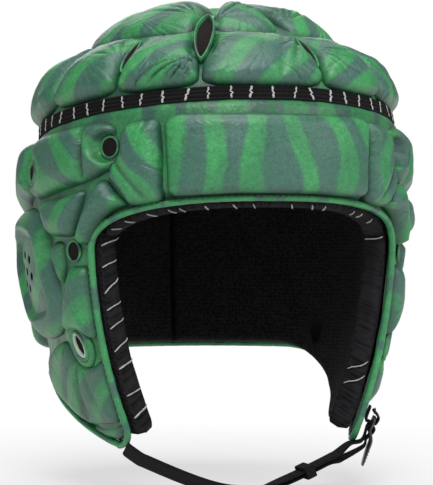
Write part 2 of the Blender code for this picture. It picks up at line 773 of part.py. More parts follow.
def make_rings(cover):
    for side, word in ((1, "left"), (-1, "right")):
        for row, (bearing, share) in VENT_SHARES.items():
            level = side_level(bearing, share)
            ring(f"vent_ring_{row}_{word}", side * bearing, level, VENT_RADIUS, VENT_RADIUS,
                 VENT_WIRE, "ring")
            inner = VENT_RADIUS - VENT_WIRE
            cut(cover, hole_cutter("vent_cutter", side * bearing, level, inner, inner,
                                   -COVER_THICKNESS - CUT_OVERRUN, CUT_OVERRUN, 12))
        bearing, share = EYELET_SHARE
        level = side_level(bearing, share)
        ring(f"eyelet_{word}", side * bearing, level, EYELET_HALF_WIDTH, EYELET_HALF_HEIGHT,
             EYELET_WIRE, "ring")
        cut(cover, hole_cutter("eyelet_cutter", side * bearing, level,
                               EYELET_HALF_WIDTH - EYELET_WIRE, EYELET_HALF_HEIGHT - EYELET_WIRE,
                               -COVER_THICKNESS - CUT_OVERRUN, CUT_OVERRUN, 12))


def cut_rear_slots(objects):
    """The slots behind the ears, through the backing and the lining."""
    for side in (1, -1):
        for obj in objects:
            if obj.name.endswith("_right" if side > 0 else "_left"):
                continue
            low = -COVER_THICKNESS - LINER_THICKNESS - 2 * CUT_OVERRUN
            cut(obj, hole_cutter("slot_cutter", side * REAR_SLOT_BEARING, REAR_SLOT_LEVEL,
                                 REAR_SLOT_HALF_WIDTH, REAR_SLOT_HALF_HEIGHT, low, CUT_OVERRUN, 12))


# The strap's places, which follow the buckle's middle bar on the jaw tip
BUCKLE_LEVEL = JAW_LEVEL + BUCKLE_LIFT
BAR_POINT = on_form(BUCKLE_BEARING, BUCKLE_LEVEL, PATCH_THICKNESS + BUCKLE_RISE)
STRAP_PLANE = BAR_POINT.y + STRAP_SETBACK
SWING_HALF_SPAN = BAR_POINT.x - SWING_INSET
SWING_LEVEL = JAW_LEVEL - SWING_DROP
LEAD_HALF_SPAN = BAR_POINT.x - LEAD_INSET
KEEPER_PLACE = SWING_HALF_SPAN - KEEPER_INSET
TAIL_END = SWING_HALF_SPAN - TAIL_LENGTH


def webbing(name, spine, across, thickness, slot):
    """A ribbon along the spine, whose half width at each point is a vector."""
    bm = bmesh.new()
    bmesh.ops.create_grid(bm, x_segments=len(spine) - 1, y_segments=1, size=1)
    for vert in bm.verts:
        index = round((vert.co.x + 1) / 2 * (len(spine) - 1))
        vert.co = spine[index] + across[index] * vert.co.y
    data = bpy.data.meshes.new(name)
    bm.to_mesh(data)
    bm.free()
    obj = add_object(name, data, slot)
    return solidify(obj, thickness, 0)


def strap_height(x):
    """The chin strap hangs as a hyperbola between its two ends."""
    end = STRAP_SLOPE_SHARE * math.hypot(SWING_HALF_SPAN, STRAP_ROUNDING)
    return SWING_LEVEL - end + STRAP_SLOPE_SHARE * math.hypot(x, STRAP_ROUNDING)


def tail_height(x):
    """The doubled-back tail lies below the strap and closes up to it towards the keeper."""
    near = smooth_step(KEEPER_PLACE + KEEPER_LENGTH + KEEPER_TRAVEL, SWING_HALF_SPAN, x)
    return strap_height(x) - mix(TAIL_LIE, TAIL_DROP, near)


def end_half_width(x):
    inward = min(1, (SWING_HALF_SPAN - SWING_GAP - abs(x)) / WEBBING_TAPER)
    return mix(WEBBING_END_WIDTH, WEBBING_WIDTH, max(0, inward)) / 2


def bend(centre, reach, low, high, chamfer):
    """Points of a squarish bend round a bar: from its low side past its reach to its high side."""
    beyond = centre + reach
    inward = chamfer if reach > 0 else -chamfer
    return [Vector((beyond - inward, 0, low)), Vector((beyond, 0, low + chamfer)),
            Vector((beyond, 0, high - chamfer)), Vector((beyond - inward, 0, high))]


def make_chin_strap():
    """The webbing that hangs between the jaw tips, with its tail."""
    end = SWING_HALF_SPAN - SWING_GAP - TAIL_DROP / 2 - WEBBING_THICKNESS / 2
    spine = []
    tail_steps, strap_steps = 5, 20
    for k in range(tail_steps + 1):
        x = mix(TAIL_END, end, k / tail_steps)
        spine.append(Vector((x, STRAP_PLANE, tail_height(x))))
    bend_end = end + TAIL_DROP / 2
    bend_low, bend_high = tail_height(end), strap_height(end)
    for point in bend(end, bend_end - end, bend_low, bend_high, (bend_high - bend_low) / 3):
        spine.append(point + Vector((0, STRAP_PLANE, 0)))
    for k in range(strap_steps + 1):
        x = mix(end, -(SWING_HALF_SPAN - SWING_GAP), k / strap_steps)
        spine.append(Vector((x, STRAP_PLANE, strap_height(x))))
    across = [Vector((0, end_half_width(point.x), 0)) for point in spine]
    pivot = Vector((0, STRAP_PLANE, SWING_LEVEL))
    spine = [point - pivot for point in spine]
    strap = webbing("chin_strap", spine, across, WEBBING_THICKNESS, "webbing")
    strap.location = pivot
    return strap


def make_keeper():
    """The loop that holds the tail against the strap, and slides along them."""
    x = KEEPER_PLACE
    slope = math.atan2(strap_height(x + KEEPER_LENGTH) - strap_height(x - KEEPER_LENGTH),
                       2 * KEEPER_LENGTH)
    centre = Vector((x, STRAP_PLANE, (strap_height(x) + tail_height(x)) / 2))
    room = (KEEPER_LENGTH + 2 * CUT_OVERRUN, WEBBING_WIDTH + 2 * KEEPER_CLEARANCE,
            TAIL_LIE + WEBBING_THICKNESS + 2 * KEEPER_CLEARANCE)
    outside = (KEEPER_LENGTH, room[1] + 2 * KEEPER_WALL, room[2] + 2 * KEEPER_WALL)
    made = []
    for name, size in (("strap_keeper", outside), ("keeper_cutter", room)):
        bm = bmesh.new()
        bmesh.ops.create_cube(bm, size=1)
        bmesh.ops.scale(bm, vec=size, verts=bm.verts)
        obj = mesh_object(name, bm, "webbing")
        obj.location = centre
        obj.rotation_euler = (0, -slope, 0)
        made.append(obj)
    cut(made[0], made[1])
    return made[0]


def jaw_frame():
    """The buckle's own axes on the left jaw tip: x down, y to the rear, z out."""
    normal = form_normal(BUCKLE_BEARING, BUCKLE_LEVEL)
    rear = Vector((0, 0, 1)).cross(normal).normalized()
    down = rear.cross(normal)
    frame = Matrix((down, rear, normal)).transposed().to_4x4()
    frame.translation = BAR_POINT
    return frame


def make_buckle():
    """The ladder lock: a bent plate with two slots, whose origin is on its middle bar."""
    frame = jaw_frame()
    profile = ((-LOOP_BAR_REACH - BAR_HALF_WIDTH, 0), (BAR_HALF_WIDTH, 0), (FRONT_BAR_REACH, FRONT_BAR_RISE),
               (mix(FRONT_BAR_REACH, LIP_REACH, 0.5), mix(FRONT_BAR_RISE, LIP_RISE, 0.35)),
               (LIP_REACH, LIP_RISE))
    spine = [Vector((down, 0, out)) for down, out in profile]
    half = BUCKLE_WIDTH / 2
    widths = (half, half, half, half * 0.9, half * 0.7)
    across = [Vector((0, width, 0)) for width in widths]
    buckle = webbing("buckle", spine, across, BUCKLE_THICKNESS, "plastic")
    buckle.matrix_world = frame
    slots = ((-LOOP_BAR_REACH + BAR_HALF_WIDTH, -BAR_HALF_WIDTH),
             (BAR_HALF_WIDTH, FRONT_BAR_REACH - BAR_HALF_WIDTH / 2))
    for start, end in slots:
        bm = bmesh.new()
        bmesh.ops.create_cube(bm, size=1)
        size = (end - start, SLOT_WIDTH, 2 * FRONT_BAR_REACH)
        bmesh.ops.scale(bm, vec=size, verts=bm.verts)
        cutter = mesh_object("buckle_slot_cutter", bm, "plastic")
        cutter.matrix_world = frame @ Matrix.Translation(((start + end) / 2, 0, 0))
        cut(buckle, cutter)
    return buckle


def make_buckle_loop():
    """The sewn loop round the buckle's upper bar; its eye leaves play for the buckle's tilt."""
    frame = jaw_frame()
    clear = BUCKLE_THICKNESS / 2 + BEND_GAP + WEBBING_THICKNESS / 2
    inner, outer = -clear - LOOP_PLAY, clear
    reach = BAR_HALF_WIDTH + BEND_GAP + WEBBING_THICKNESS / 2
    top = -LOOP_BAR_REACH - LOOP_LENGTH
    spine = [Vector((top, 0, inner)), Vector((-LOOP_BAR_REACH, 0, inner))]
    spine += bend(-LOOP_BAR_REACH, reach + LOOP_END_PLAY, inner, outer, BEND_CHAMFER)
    spine += [Vector((-LOOP_BAR_REACH - reach * 0.8, 0, outer)),
              Vector((mix(-LOOP_BAR_REACH, top, 0.85), 0, inner + 1.6 * WEBBING_THICKNESS))]
    across = [Vector((0, WEBBING_WIDTH / 2, 0))] * len(spine)
    loop = webbing("buckle_loop", spine, across, WEBBING_THICKNESS, "webbing")
    loop.matrix_world = frame
    return loop


def make_leads():
    """The webbing from the jaw tips to the swinging strap; the left one turns round the buckle's bar."""
    lead_end = Vector((SWING_HALF_SPAN, STRAP_PLANE, SWING_LEVEL))
    lead_top = Vector((LEAD_HALF_SPAN, STRAP_PLANE,
                       JAW_LEVEL - BINDING_RADIUS - LEAD_TOP_DROP - WEBBING_THICKNESS / 2))
    half = Vector((0, WEBBING_WIDTH / 2, 0))
    right = [Vector((-p.x, p.y, p.z)) for p in (lead_top, (lead_top + lead_end) / 2, lead_end)]
    webbing("strap_lead_right", right, [half] * 3, WEBBING_THICKNESS, "webbing")

    frame = jaw_frame()
    clear = BUCKLE_THICKNESS / 2 + BEND_GAP + WEBBING_THICKNESS / 2
    rear = (frame.to_3x3() @ Vector((0, 1, 0))) * WEBBING_WIDTH / 2
    below = frame.inverted() @ lead_top
    reach = BAR_HALF_WIDTH + BEND_GAP + WEBBING_THICKNESS / 2
    inner = [Vector((below.x - LEAD_INNER_STOP, 0, -clear))]
    inner += bend(0, -reach, -clear, clear, BEND_CHAMFER)
    outer = [Vector((BAR_HALF_WIDTH, 0, clear)), Vector((FRONT_BAR_REACH, 0, -clear * 0.1)),
             Vector((below.x - LEAD_OUTER_STOP, 0, -clear * 0.1))]
    inner = [frame @ point for point in inner]
    outer = [frame @ point for point in outer]
    tail_end = lead_end - Vector((0, 0, TAIL_DROP))
    spine = [lead_end, lead_top] + inner + outer + [tail_end]
    across = [half, (half + rear) / 2] + [rear] * (len(spine) - 3) + [half]
    return webbing("strap_lead_left", spine, across, WEBBING_THICKNESS, "webbing")


crown_cover, side_cover = make_covers()
make_liners()
make_binding()
make_band()
make_crown_pads()
make_top_pads()
make_forehead()
make_side_pads()
make_ear_pads()
make_rings(side_cover)
cut_rear_slots([side_cover, bpy.data.objects["side_liner_left"], bpy.data.objects["side_liner_right"]])
make_chin_strap()
make_keeper()
make_buckle()
make_buckle_loop()
make_leads()
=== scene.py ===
"""The padded headguard's finished look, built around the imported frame, in metres."""

import math

import bpy
import numpy as np
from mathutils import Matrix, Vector


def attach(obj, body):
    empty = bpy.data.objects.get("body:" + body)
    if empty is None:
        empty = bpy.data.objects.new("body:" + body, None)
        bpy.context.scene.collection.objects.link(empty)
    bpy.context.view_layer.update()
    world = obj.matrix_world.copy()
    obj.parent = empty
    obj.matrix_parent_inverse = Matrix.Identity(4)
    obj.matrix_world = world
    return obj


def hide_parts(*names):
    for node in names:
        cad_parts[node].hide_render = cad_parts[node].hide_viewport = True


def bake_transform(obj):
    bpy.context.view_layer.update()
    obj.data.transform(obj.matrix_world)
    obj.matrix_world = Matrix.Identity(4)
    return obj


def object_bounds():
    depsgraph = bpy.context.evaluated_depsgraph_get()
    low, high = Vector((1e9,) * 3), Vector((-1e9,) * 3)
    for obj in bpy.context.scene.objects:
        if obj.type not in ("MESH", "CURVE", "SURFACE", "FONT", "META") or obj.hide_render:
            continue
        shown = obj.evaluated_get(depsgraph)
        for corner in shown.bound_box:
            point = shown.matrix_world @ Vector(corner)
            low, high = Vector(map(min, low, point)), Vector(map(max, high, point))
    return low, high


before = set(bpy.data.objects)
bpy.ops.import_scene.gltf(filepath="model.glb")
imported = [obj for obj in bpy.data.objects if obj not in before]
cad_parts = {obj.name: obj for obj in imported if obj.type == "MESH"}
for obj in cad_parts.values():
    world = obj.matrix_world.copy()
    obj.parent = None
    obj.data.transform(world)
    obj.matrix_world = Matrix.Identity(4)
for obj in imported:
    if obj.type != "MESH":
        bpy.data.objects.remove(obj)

CAD_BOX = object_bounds()
FLANKS = ((1, "left"), (-1, "right"))

# The head form and the lines on it, as in the part
HALF_WIDTH = 0.105
CROWN_HALF_WIDTH = 0.102
FRONT_LENGTH = 0.107
REAR_LENGTH = 0.113
CROWN_HEIGHT = 0.068
SPRING_LEVEL = 0.075
SHOULDER_LEVEL = 0.015
WIDEST_LEVEL = 0.030
TAPER_REACH = 0.235
TAPER_POWER = 2.25
REAR_TAPER = 0.9
FLARE = 0.5
FLARE_START = 66.0
FLARE_END = 124.0
BAND_LEVEL = 0.078
BAND_TILT = 0.014
BAND_HEIGHT = 0.0085
FACE_HALF_BEARING = 59.0
FACE_SPRING_LEVEL = 0.005
FACE_TOP_LEVEL = 0.035
FACE_POWER = 2.4
JAW_LEVEL = -0.1045
JAW_CORNER_RISE = 0.012
JAW_CORNER_BEARING = 9.0
NAPE_LEVEL = -0.055
COVER = 0.0015
LINER = 0.0130
LINER_GAP = 0.0014
LINER_LIP = 0.005
CROWN_LINER = 0.0100
SEAM = 0.001
BINDING_RADIUS = 0.0021
PAD = 0.012
LOWER_PAD = 0.013
EAR_PAD = 0.016
PATCH = 0.0026
WEBBING_WIDTH = 0.016
WEBBING = 0.0014
BAR_POINT = np.array((0.079079, -0.049698, -0.098682))
STRAP_PLANE = BAR_POINT[1] + 0.0027
SWING_HALF_SPAN = BAR_POINT[0] - 0.0191
LEAD_HALF_SPAN = BAR_POINT[0] - 0.0121
SWING_LEVEL = -0.1125
STRAP_ROUNDING = 0.024
TAIL_DROP = 0.0042
TAIL_LIE = 0.0024
KEEPER_PLACE = SWING_HALF_SPAN - 0.020
TAIL_END = SWING_HALF_SPAN - 0.038
CROWN_TOP = SPRING_LEVEL + CROWN_HEIGHT * math.pi / 2
CROWN_TURN = -2.0


def smooth(low, high, value):
    share = np.clip((value - low) / (high - low), 0, 1)
    return share * share * (3 - 2 * share)


def form(bearing, level):
    bearing, level = np.broadcast_arrays(np.asarray(bearing, float), np.asarray(level, float))
    turn = np.radians(bearing)
    angle = np.clip((level - SPRING_LEVEL) / CROWN_HEIGHT, 0, math.pi / 2)
    taper = (np.maximum(0, WIDEST_LEVEL - level) / TAPER_REACH) ** TAPER_POWER
    taper = taper * (1 - FLARE * smooth(FLARE_START, FLARE_END, np.abs((bearing + 180) % 360 - 180)))
    shoulder = smooth(SHOULDER_LEVEL, SPRING_LEVEL, level)
    width = (HALF_WIDTH + (CROWN_HALF_WIDTH - HALF_WIDTH) * shoulder) * (1 - taper)
    length = np.where(np.cos(turn) > 0, FRONT_LENGTH, REAR_LENGTH * (1 - REAR_TAPER * taper))
    shrink = np.cos(angle)
    height = np.minimum(level, SPRING_LEVEL) + CROWN_HEIGHT * np.sin(angle)
    return np.stack((width * shrink * np.sin(turn), -length * shrink * np.cos(turn), height), -1)


def unit(v):
    return v / np.maximum(np.linalg.norm(v, axis=-1, keepdims=True), 1e-12)


def normal(bearing, level):
    bearing, level = np.broadcast_arrays(np.asarray(bearing, float), np.asarray(level, float))
    step = 0.0001
    low = np.minimum(level, CROWN_TOP - 2 * step)
    along = form(bearing + 0.1, low) - form(bearing - 0.1, low)
    up = form(bearing, low + step) - form(bearing, low - step)
    return unit(np.cross(along, up))


def on_form(bearing, level, rise=0.0):
    return form(bearing, level) + normal(bearing, level) * np.asarray(rise)[..., None]


def band_level(bearing):
    return BAND_LEVEL + BAND_TILT * np.cos(np.radians(bearing))


def rim_level(bearing):
    return JAW_LEVEL + (NAPE_LEVEL - JAW_LEVEL) * smooth(62.0, 136.0, np.abs(bearing))


def face_top(bearing):
    across = np.minimum(1, np.abs(bearing) / FACE_HALF_BEARING)
    arch = (1 - across**FACE_POWER) ** (1 / FACE_POWER)
    return FACE_SPRING_LEVEL + (FACE_TOP_LEVEL - FACE_SPRING_LEVEL) * arch


def shift(level, length):
    """The bearing that a length spans at a level."""
    return np.degrees(length / np.maximum(form(90, level)[..., 0], abs(length)))


# How many points the edge has over the brow, down the face, round the jaw's corner and along the rim
EDGE_ARCH, EDGE_SIDE, EDGE_CORNER, EDGE_RIM = 60, 40, 14, 100


def edge_path(inset=0.0):
    """The closed edge of the side panel as bearings and levels, moved in by an inset."""
    corner_level = JAW_LEVEL + JAW_CORNER_RISE
    corner_end = FACE_HALF_BEARING + JAW_CORNER_BEARING
    turn = np.linspace(0, math.pi / 2, EDGE_ARCH, endpoint=False)
    bearing = [(FACE_HALF_BEARING + shift(FACE_SPRING_LEVEL, inset)) * np.sin(turn) ** (2 / FACE_POWER)]
    rise = FACE_TOP_LEVEL - FACE_SPRING_LEVEL + inset
    level = [FACE_SPRING_LEVEL + rise * np.cos(turn) ** (2 / FACE_POWER)]
    down = np.linspace(FACE_SPRING_LEVEL, corner_level, EDGE_SIDE, endpoint=False)
    bearing.append(FACE_HALF_BEARING + shift(down, inset))
    level.append(down)
    turn = np.linspace(0, math.pi / 2, EDGE_CORNER, endpoint=False)
    reach = JAW_CORNER_BEARING - shift(JAW_LEVEL, inset)
    bearing.append(corner_end - reach * np.cos(turn))
    level.append(corner_level - (JAW_CORNER_RISE - inset) * np.sin(turn))
    back = np.linspace(corner_end, 180, EDGE_RIM + 1)
    bearing.append(back)
    level.append(rim_level(back) + inset)
    bearing, level = np.concatenate(bearing), np.concatenate(level)
    return np.concatenate((bearing, -bearing[1:-1][::-1])), np.concatenate((level, level[1:-1][::-1]))


# Small helpers for lines and sections

def looped(line):
    return np.concatenate((line, line[:1]))


def run_along(points):
    """The length of a line up to each of its points."""
    return np.concatenate(([0], np.cumsum(np.linalg.norm(np.diff(points, axis=0), axis=1))))


def sampled(wanted, run, line):
    """The places on a line at the wanted lengths."""
    return np.stack([np.interp(wanted, run, column) for column in line.T], -1)


def rounded(away, reach, power):
    """A swelling from 0 at the edge to 1 at a reach from it, as a superellipse."""
    return (1 - (1 - np.minimum(away / reach, 1)) ** power) ** (1 / power)


def signed_power(value, power):
    return np.sign(value) * np.abs(value) ** power


# Materials

def rgb(r, g, b):
    return tuple(((c / 255 + 0.055) / 1.055) ** 2.4 if c > 10 else c / 3295 for c in (r, g, b)) + (1,)


BRIGHT = rgb(60, 158, 90)
MIDDLE = rgb(38, 110, 74)
SLATE = rgb(66, 108, 98)
# CREASE_SHADE is painted shade: the dark green blended into the leather at seams, folds, gathers and hollows
CREASE_SHADE = rgb(8, 46, 28)
WHITE, BLACK = (1, 1, 1, 1), (0, 0, 0, 1)


class Wire:
    """A shader output that adds, subtracts and multiplies."""

    def __init__(self, graph, socket):
        self.graph, self.socket = graph, socket

    def __add__(self, other):
        return self.graph.math("ADD", self, other)

    def __sub__(self, other):
        return self.graph.math("SUBTRACT", self, other)

    def __mul__(self, other):
        return self.graph.math("MULTIPLY", self, other)


class Graph:
    """Makes and links the shader nodes of a material or a world."""

    def __init__(self, owner):
        owner.use_nodes = True
        self.owner, self.tree = owner, owner.node_tree

    def put(self, socket, value):
        if isinstance(value, Wire):
            self.tree.links.new(value.socket, socket)
        else:
            socket.default_value = value

    def node(self, kind, inputs, output=0, **settings):
        made = self.tree.nodes.new("ShaderNode" + kind)
        for key, value in settings.items():
            setattr(made, key, value)
        for key, value in inputs.items():
            self.put(made.inputs[key], value)
        return Wire(self, made.outputs[output])

    def math(self, operation, a, b=0.0, **settings):
        return self.node("Math", {0: a, 1: b}, operation=operation, **settings)

    def vector(self, operation, a, b=(0, 0, 0), output=0):
        return self.node("VectorMath", {0: a, 1: b}, output, operation=operation)

    def attribute(self, name, output="Vector"):
        return self.node("Attribute", {}, output, attribute_name=name)

    def noise(self, vector, scale, detail=2.0, rough=0.5, output="Fac"):
        inputs = {"Vector": vector, "Scale": scale, "Detail": detail, "Roughness": rough}
        return self.node("TexNoise", inputs, output)

    def ramp(self, factor, *stops):
        """A colour ramp with two stops, each a place and a colour."""
        made = self.node("ValToRGB", {"Fac": factor}, "Color")
        for element, (place, colour) in zip(made.socket.node.color_ramp.elements, stops):
            element.position, element.color = place, colour
        return made

    def blend(self, factor, a, b):
        return self.node("Mix", {0: factor, 6: a, 7: b}, 2, data_type="RGBA")

    def bump(self, height, distance, strength, **under):
        return self.node("Bump", {"Height": height, "Distance": distance, "Strength": strength, **under})

    def finish(self, **sockets):
        for key, value in sockets.items():
            self.put(self.tree.nodes["Principled BSDF"].inputs[key.replace("_", " ")], value)
        return self.owner


def cloth_graph(name):
    """A new material's graph and its cloth coordinates."""
    g = Graph(bpy.data.materials.new(name))
    return g, g.attribute("cloth")


def leather(name, bright_share, shade=1.0):
    """Synthetic leather: two greens in flame-like swirls, a pebbled grain and painted shade darkening its creases.
    """
    g, cloth = cloth_graph(name)
    drift = g.vector("SUBTRACT", g.noise(cloth, 13.0, 1.5, 0.45, "Color"), (0.5, 0.5, 0.5))
    moved = g.vector("ADD", g.vector("MULTIPLY", drift, (0.062, 0.030, 0)), cloth)
    wave = g.node("TexWave", {"Vector": moved, "Scale": 13.0, "Distortion": 0.9, "Detail": 1.0,
                              "Detail Scale": 0.5}, "Fac")
    patch = (g.noise(g.vector("MULTIPLY", moved, (1.0, 0.42, 1.0)), 30.0, 1.0) - 0.5) * 2.1
    ragged = (g.noise(cloth, 420.0, 3.0, 0.7) - 0.5) * 0.34
    low = 1 - bright_share
    tone = g.ramp(wave + patch + ragged, (low - 0.16, SLATE), (low + 0.12, BRIGHT))
    clouds = g.noise(g.vector("MULTIPLY", moved, (1.0, 0.5, 1.0)), 48.0, 2.0)
    tone = g.blend(g.ramp(clouds, (0.42, WHITE), (0.66, BLACK)) * 0.50, tone, MIDDLE)
    pebble = g.node("TexVoronoi", {"Vector": cloth, "Scale": 780.0}, "Distance", feature="SMOOTH_F1")
    mottle = g.noise(cloth, 300.0, 3.0, 0.65)
    grain = g.noise(cloth, 820.0, 1.0)
    value = mottle * (0.70 * shade) + 0.40 * shade + grain * (0.50 * shade) - pebble * 0.28
    tone = g.node("HueSaturation", {"Color": tone, "Value": value})
    # painted shade: blend towards the dark green where the crease_shade attribute marks seams, folds and hollows
    tone = g.blend(g.attribute("crease_shade", "Fac") * 0.75, tone, CREASE_SHADE)
    crumple = g.noise(cloth, 210.0, 2.0, 0.55)
    relief = g.bump(crumple, 0.0010, 0.35, Normal=g.bump(pebble, 0.00030, 0.42))
    return g.finish(Base_Color=tone, Roughness=mottle * 0.26 + 0.31, Normal=relief, Specular_IOR_Level=0.62)


def plain_fabric(name, dark, light, scale, rough, depth):
    """Mesh or thread: small round cells, darker in their middles."""
    g, cloth = cloth_graph(name)
    height = g.node("TexVoronoi", {"Vector": cloth, "Scale": scale, "Randomness": 0.55}, "Distance")
    tone = g.ramp(height * 0.8 + g.noise(cloth, scale / 9, 2.0) * 0.4, (0.25, dark), (0.8, light))
    return g.finish(Base_Color=tone, Roughness=rough, Normal=g.bump(height, depth, 0.9), Specular_IOR_Level=0.25)


def woven(name, dark, light, pitch, rough, depth=0.00035):
    """Webbing: threads that pass over and under along and across the cloth coordinates."""
    g, cloth = cloth_graph(name)
    turns = math.tau / pitch
    warp = g.math("SINE", g.node("SeparateXYZ", {0: cloth}, "Y") * turns)
    shifted = g.node("SeparateXYZ", {0: cloth}, "X") * (turns / 2) + g.math("SIGN", warp) * 1.57
    height = g.math("ABSOLUTE", warp) * 0.6 + g.math("SINE", shifted) * 0.25
    factor = g.math("ADD", height * 0.6, g.noise(cloth, 400.0, 2.0) * 0.4, use_clamp=True)
    tone = g.ramp(factor, (0.15, dark), (0.85, light))
    return g.finish(Base_Color=tone, Roughness=rough, Normal=g.bump(height, depth, 0.8), Specular_IOR_Level=0.3)


def plastic(name, colour, rough=0.38):
    g, cloth = cloth_graph(name)
    uneven = g.noise(cloth, 900.0, 2.0)
    tone = g.ramp(uneven, (0.3, tuple(c * 0.8 for c in colour[:3]) + (1,)), (0.7, colour))
    value = g.noise(cloth, 300.0, 2.0) * 0.2 + (rough - 0.1)
    return g.finish(Base_Color=tone, Roughness=value, Normal=g.bump(uneven, 0.00006, 0.5))


LEATHER = leather("leather_two_tone", 0.43)
SKIN = leather("leather_seam", 0.72, 0.95)
BINDING = leather("leather_binding", 0.92, 1.05)
MESH = plain_fabric("spacer_mesh", (0.0003, 0.0003, 0.0004, 1), (0.015, 0.0135, 0.016, 1), 430.0, 0.95, 0.0012)
DARK_MESH = plain_fabric("vent_mesh", (0.002, 0.001, 0.001, 1), (0.014, 0.008, 0.008, 1), 900.0, 0.9, 0.0003)
ELASTIC = woven("ribbed_elastic", (0.001, 0.0008, 0.0009, 1), (0.010, 0.008, 0.0085, 1), 0.0017, 0.9, 0.0003)
WEB = woven("woven_webbing", (0.0008, 0.0008, 0.0010, 1), (0.008, 0.008, 0.0085, 1), 0.0019, 0.92)
PLASTIC = plastic("black_plastic", (0.011, 0.011, 0.012, 1))
PALE = plastic("pale_ring", rgb(196, 208, 196), 0.42)
THREAD = plain_fabric("pale_thread", rgb(120, 120, 120), rgb(196, 196, 194), 2600.0, 0.7, 0.0001)
GREEN_THREAD = plain_fabric("green_thread", rgb(40, 118, 66), rgb(96, 186, 116), 2600.0, 0.6, 0.0001)
DARK_THREAD = plain_fabric("dark_thread", (0.01, 0.01, 0.011, 1), (0.06, 0.06, 0.065, 1), 2600.0, 0.7, 0.0001)


# Mesh helpers

def add_piece(name, verts, faces, cloth, material, slot, nodes=(), body="helmet", crease_shade=0.0, angle=60):
    """A smooth mesh with its cloth coordinates and its painted crease shade, its body, and the nodes it replaces.
    """
    data = bpy.data.meshes.new(name)
    data.from_pydata([tuple(v) for v in verts], [], faces)
    data.materials.append(material)
    data.shade_smooth()
    data.set_sharp_from_angle(angle=math.radians(angle))
    attribute = data.attributes.new("cloth", "FLOAT_VECTOR", "POINT")
    attribute.data.foreach_set("vector", np.asarray(cloth, np.float32).ravel())
    # painted shade: the crease_shade attribute says how far the leather is darkened towards the crease shade green
    attribute = data.attributes.new("crease_shade", "FLOAT", "POINT")
    attribute.data.foreach_set("value", np.full(len(verts), crease_shade, np.float32))
    obj = bpy.data.objects.new(name, data)
    bpy.context.scene.collection.objects.link(obj)
    if body:
        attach(obj, body)
    if nodes:
        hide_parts(*nodes)
    return obj


def turned(faces, flip):
    return [face[::-1] for face in faces] if flip else faces


def cap(start, count, flip=False):
    """One face over a ring of vertices."""
    return turned([tuple(range(start, start + count))], flip)


def spokes(ring, hub, count, flip=False):
    """Triangles from a ring of vertices to a vertex at its middle."""
    return turned([(ring + c, ring + (c + 1) % count, hub) for c in range(count)], flip)


def bridge(low, high, count, wrap=True, flip=False):
    """Quads between two rows of vertices, each given by its first one."""
    return turned([(low + c, low + (c + 1) % count, high + (c + 1) % count, high + c)
                   for c in range(count if wrap else count - 1)], flip)


def grid_faces(rows, columns, wrap=False, start=0, flip=False):
    """Quads of a grid whose rows follow each other, each closed on itself when wrapped."""
    firsts = [start + r * columns for r in range(rows)]
    return [quad for low, high in zip(firsts, firsts[1:]) for quad in bridge(low, high, columns, wrap, flip)]


def segment_distance(points, line):
    """The distance from each point to a closed polyline, worked out for some points at a time."""
    ab = np.roll(line, -1, 0) - line
    best = np.full(len(points), 1.0)
    batch = 2000
    for low in range(0, len(points), batch):
        ap = points[low:low + batch, None, :] - line[None]
        t = np.clip((ap * ab).sum(-1) / np.maximum((ab * ab).sum(-1), 1e-12), 0, 1)
        away = ap - t[..., None] * ab
        best[low:low + batch] = np.sqrt((away * away).sum(-1)).min(1)
    return best


def seeded(name):
    return np.random.default_rng(sum(ord(c) * (i + 1) for i, c in enumerate(name)))


def waves(rng, count, low, high):
    """Random smooth bumps of wavelengths low to high, as a function of points."""
    turn = unit(rng.normal(size=(count, 3))) * (math.tau / rng.uniform(low, high, (count, 1)))
    phase = rng.uniform(0, math.tau, count)
    return lambda p: np.sin(p @ turn.T + phase).mean(-1) * 1.6


def strip_cloth(points, girth):
    """Cloth coordinates: along the points, and round the girth."""
    run = np.broadcast_to(run_along(points)[:, None], girth.shape)
    return np.stack((run, girth, np.zeros_like(girth)), -1).reshape(-1, 3)


def sweep(points, normals, half_across, half_out, sides=10, closed=False, power=2.0):
    """An oval tube along points; half_across lies square to the normals and half_out along them."""
    points = np.asarray(points, float)
    count = len(points)
    if closed:
        tangent = unit(np.roll(points, -1, 0) - np.roll(points, 1, 0))
    else:
        tangent = unit(np.gradient(points, axis=0))
    normals = unit(normals - (normals * tangent).sum(-1, keepdims=True) * tangent)
    across = np.cross(tangent, normals)
    turn = np.arange(sides) * math.tau / sides
    half_across = np.broadcast_to(half_across, (count,))[:, None]
    half_out = np.broadcast_to(half_out, (count,))[:, None]
    ring = (points[:, None] + across[:, None] * (half_across * signed_power(np.cos(turn), 2 / power))[..., None]
            + normals[:, None] * (half_out * signed_power(np.sin(turn), 2 / power))[..., None])
    faces = grid_faces(count, sides, wrap=True)
    last = (count - 1) * sides
    faces += bridge(last, 0, sides) if closed else cap(0, sides, flip=True) + cap(last, sides)
    return ring.reshape(-1, 3), faces, strip_cloth(points, turn * (half_across + half_out) / 2)


def merged(parts):
    """One mesh from several: their vertices, faces and cloth coordinates."""
    verts, faces, cloth = zip(*parts)
    starts = [sum(len(v) for v in verts[:k]) for k in range(len(verts))]
    faces = [tuple(i + start for i in face) for start, part in zip(starts, faces) for face in part]
    return np.concatenate(verts), faces, np.concatenate(cloth)


def apply_modifiers(obj):
    bpy.context.view_layer.update()
    graph = bpy.context.evaluated_depsgraph_get()
    made = bpy.data.meshes.new_from_object(obj.evaluated_get(graph), depsgraph=graph)
    obj.modifiers.clear()
    obj.data = made


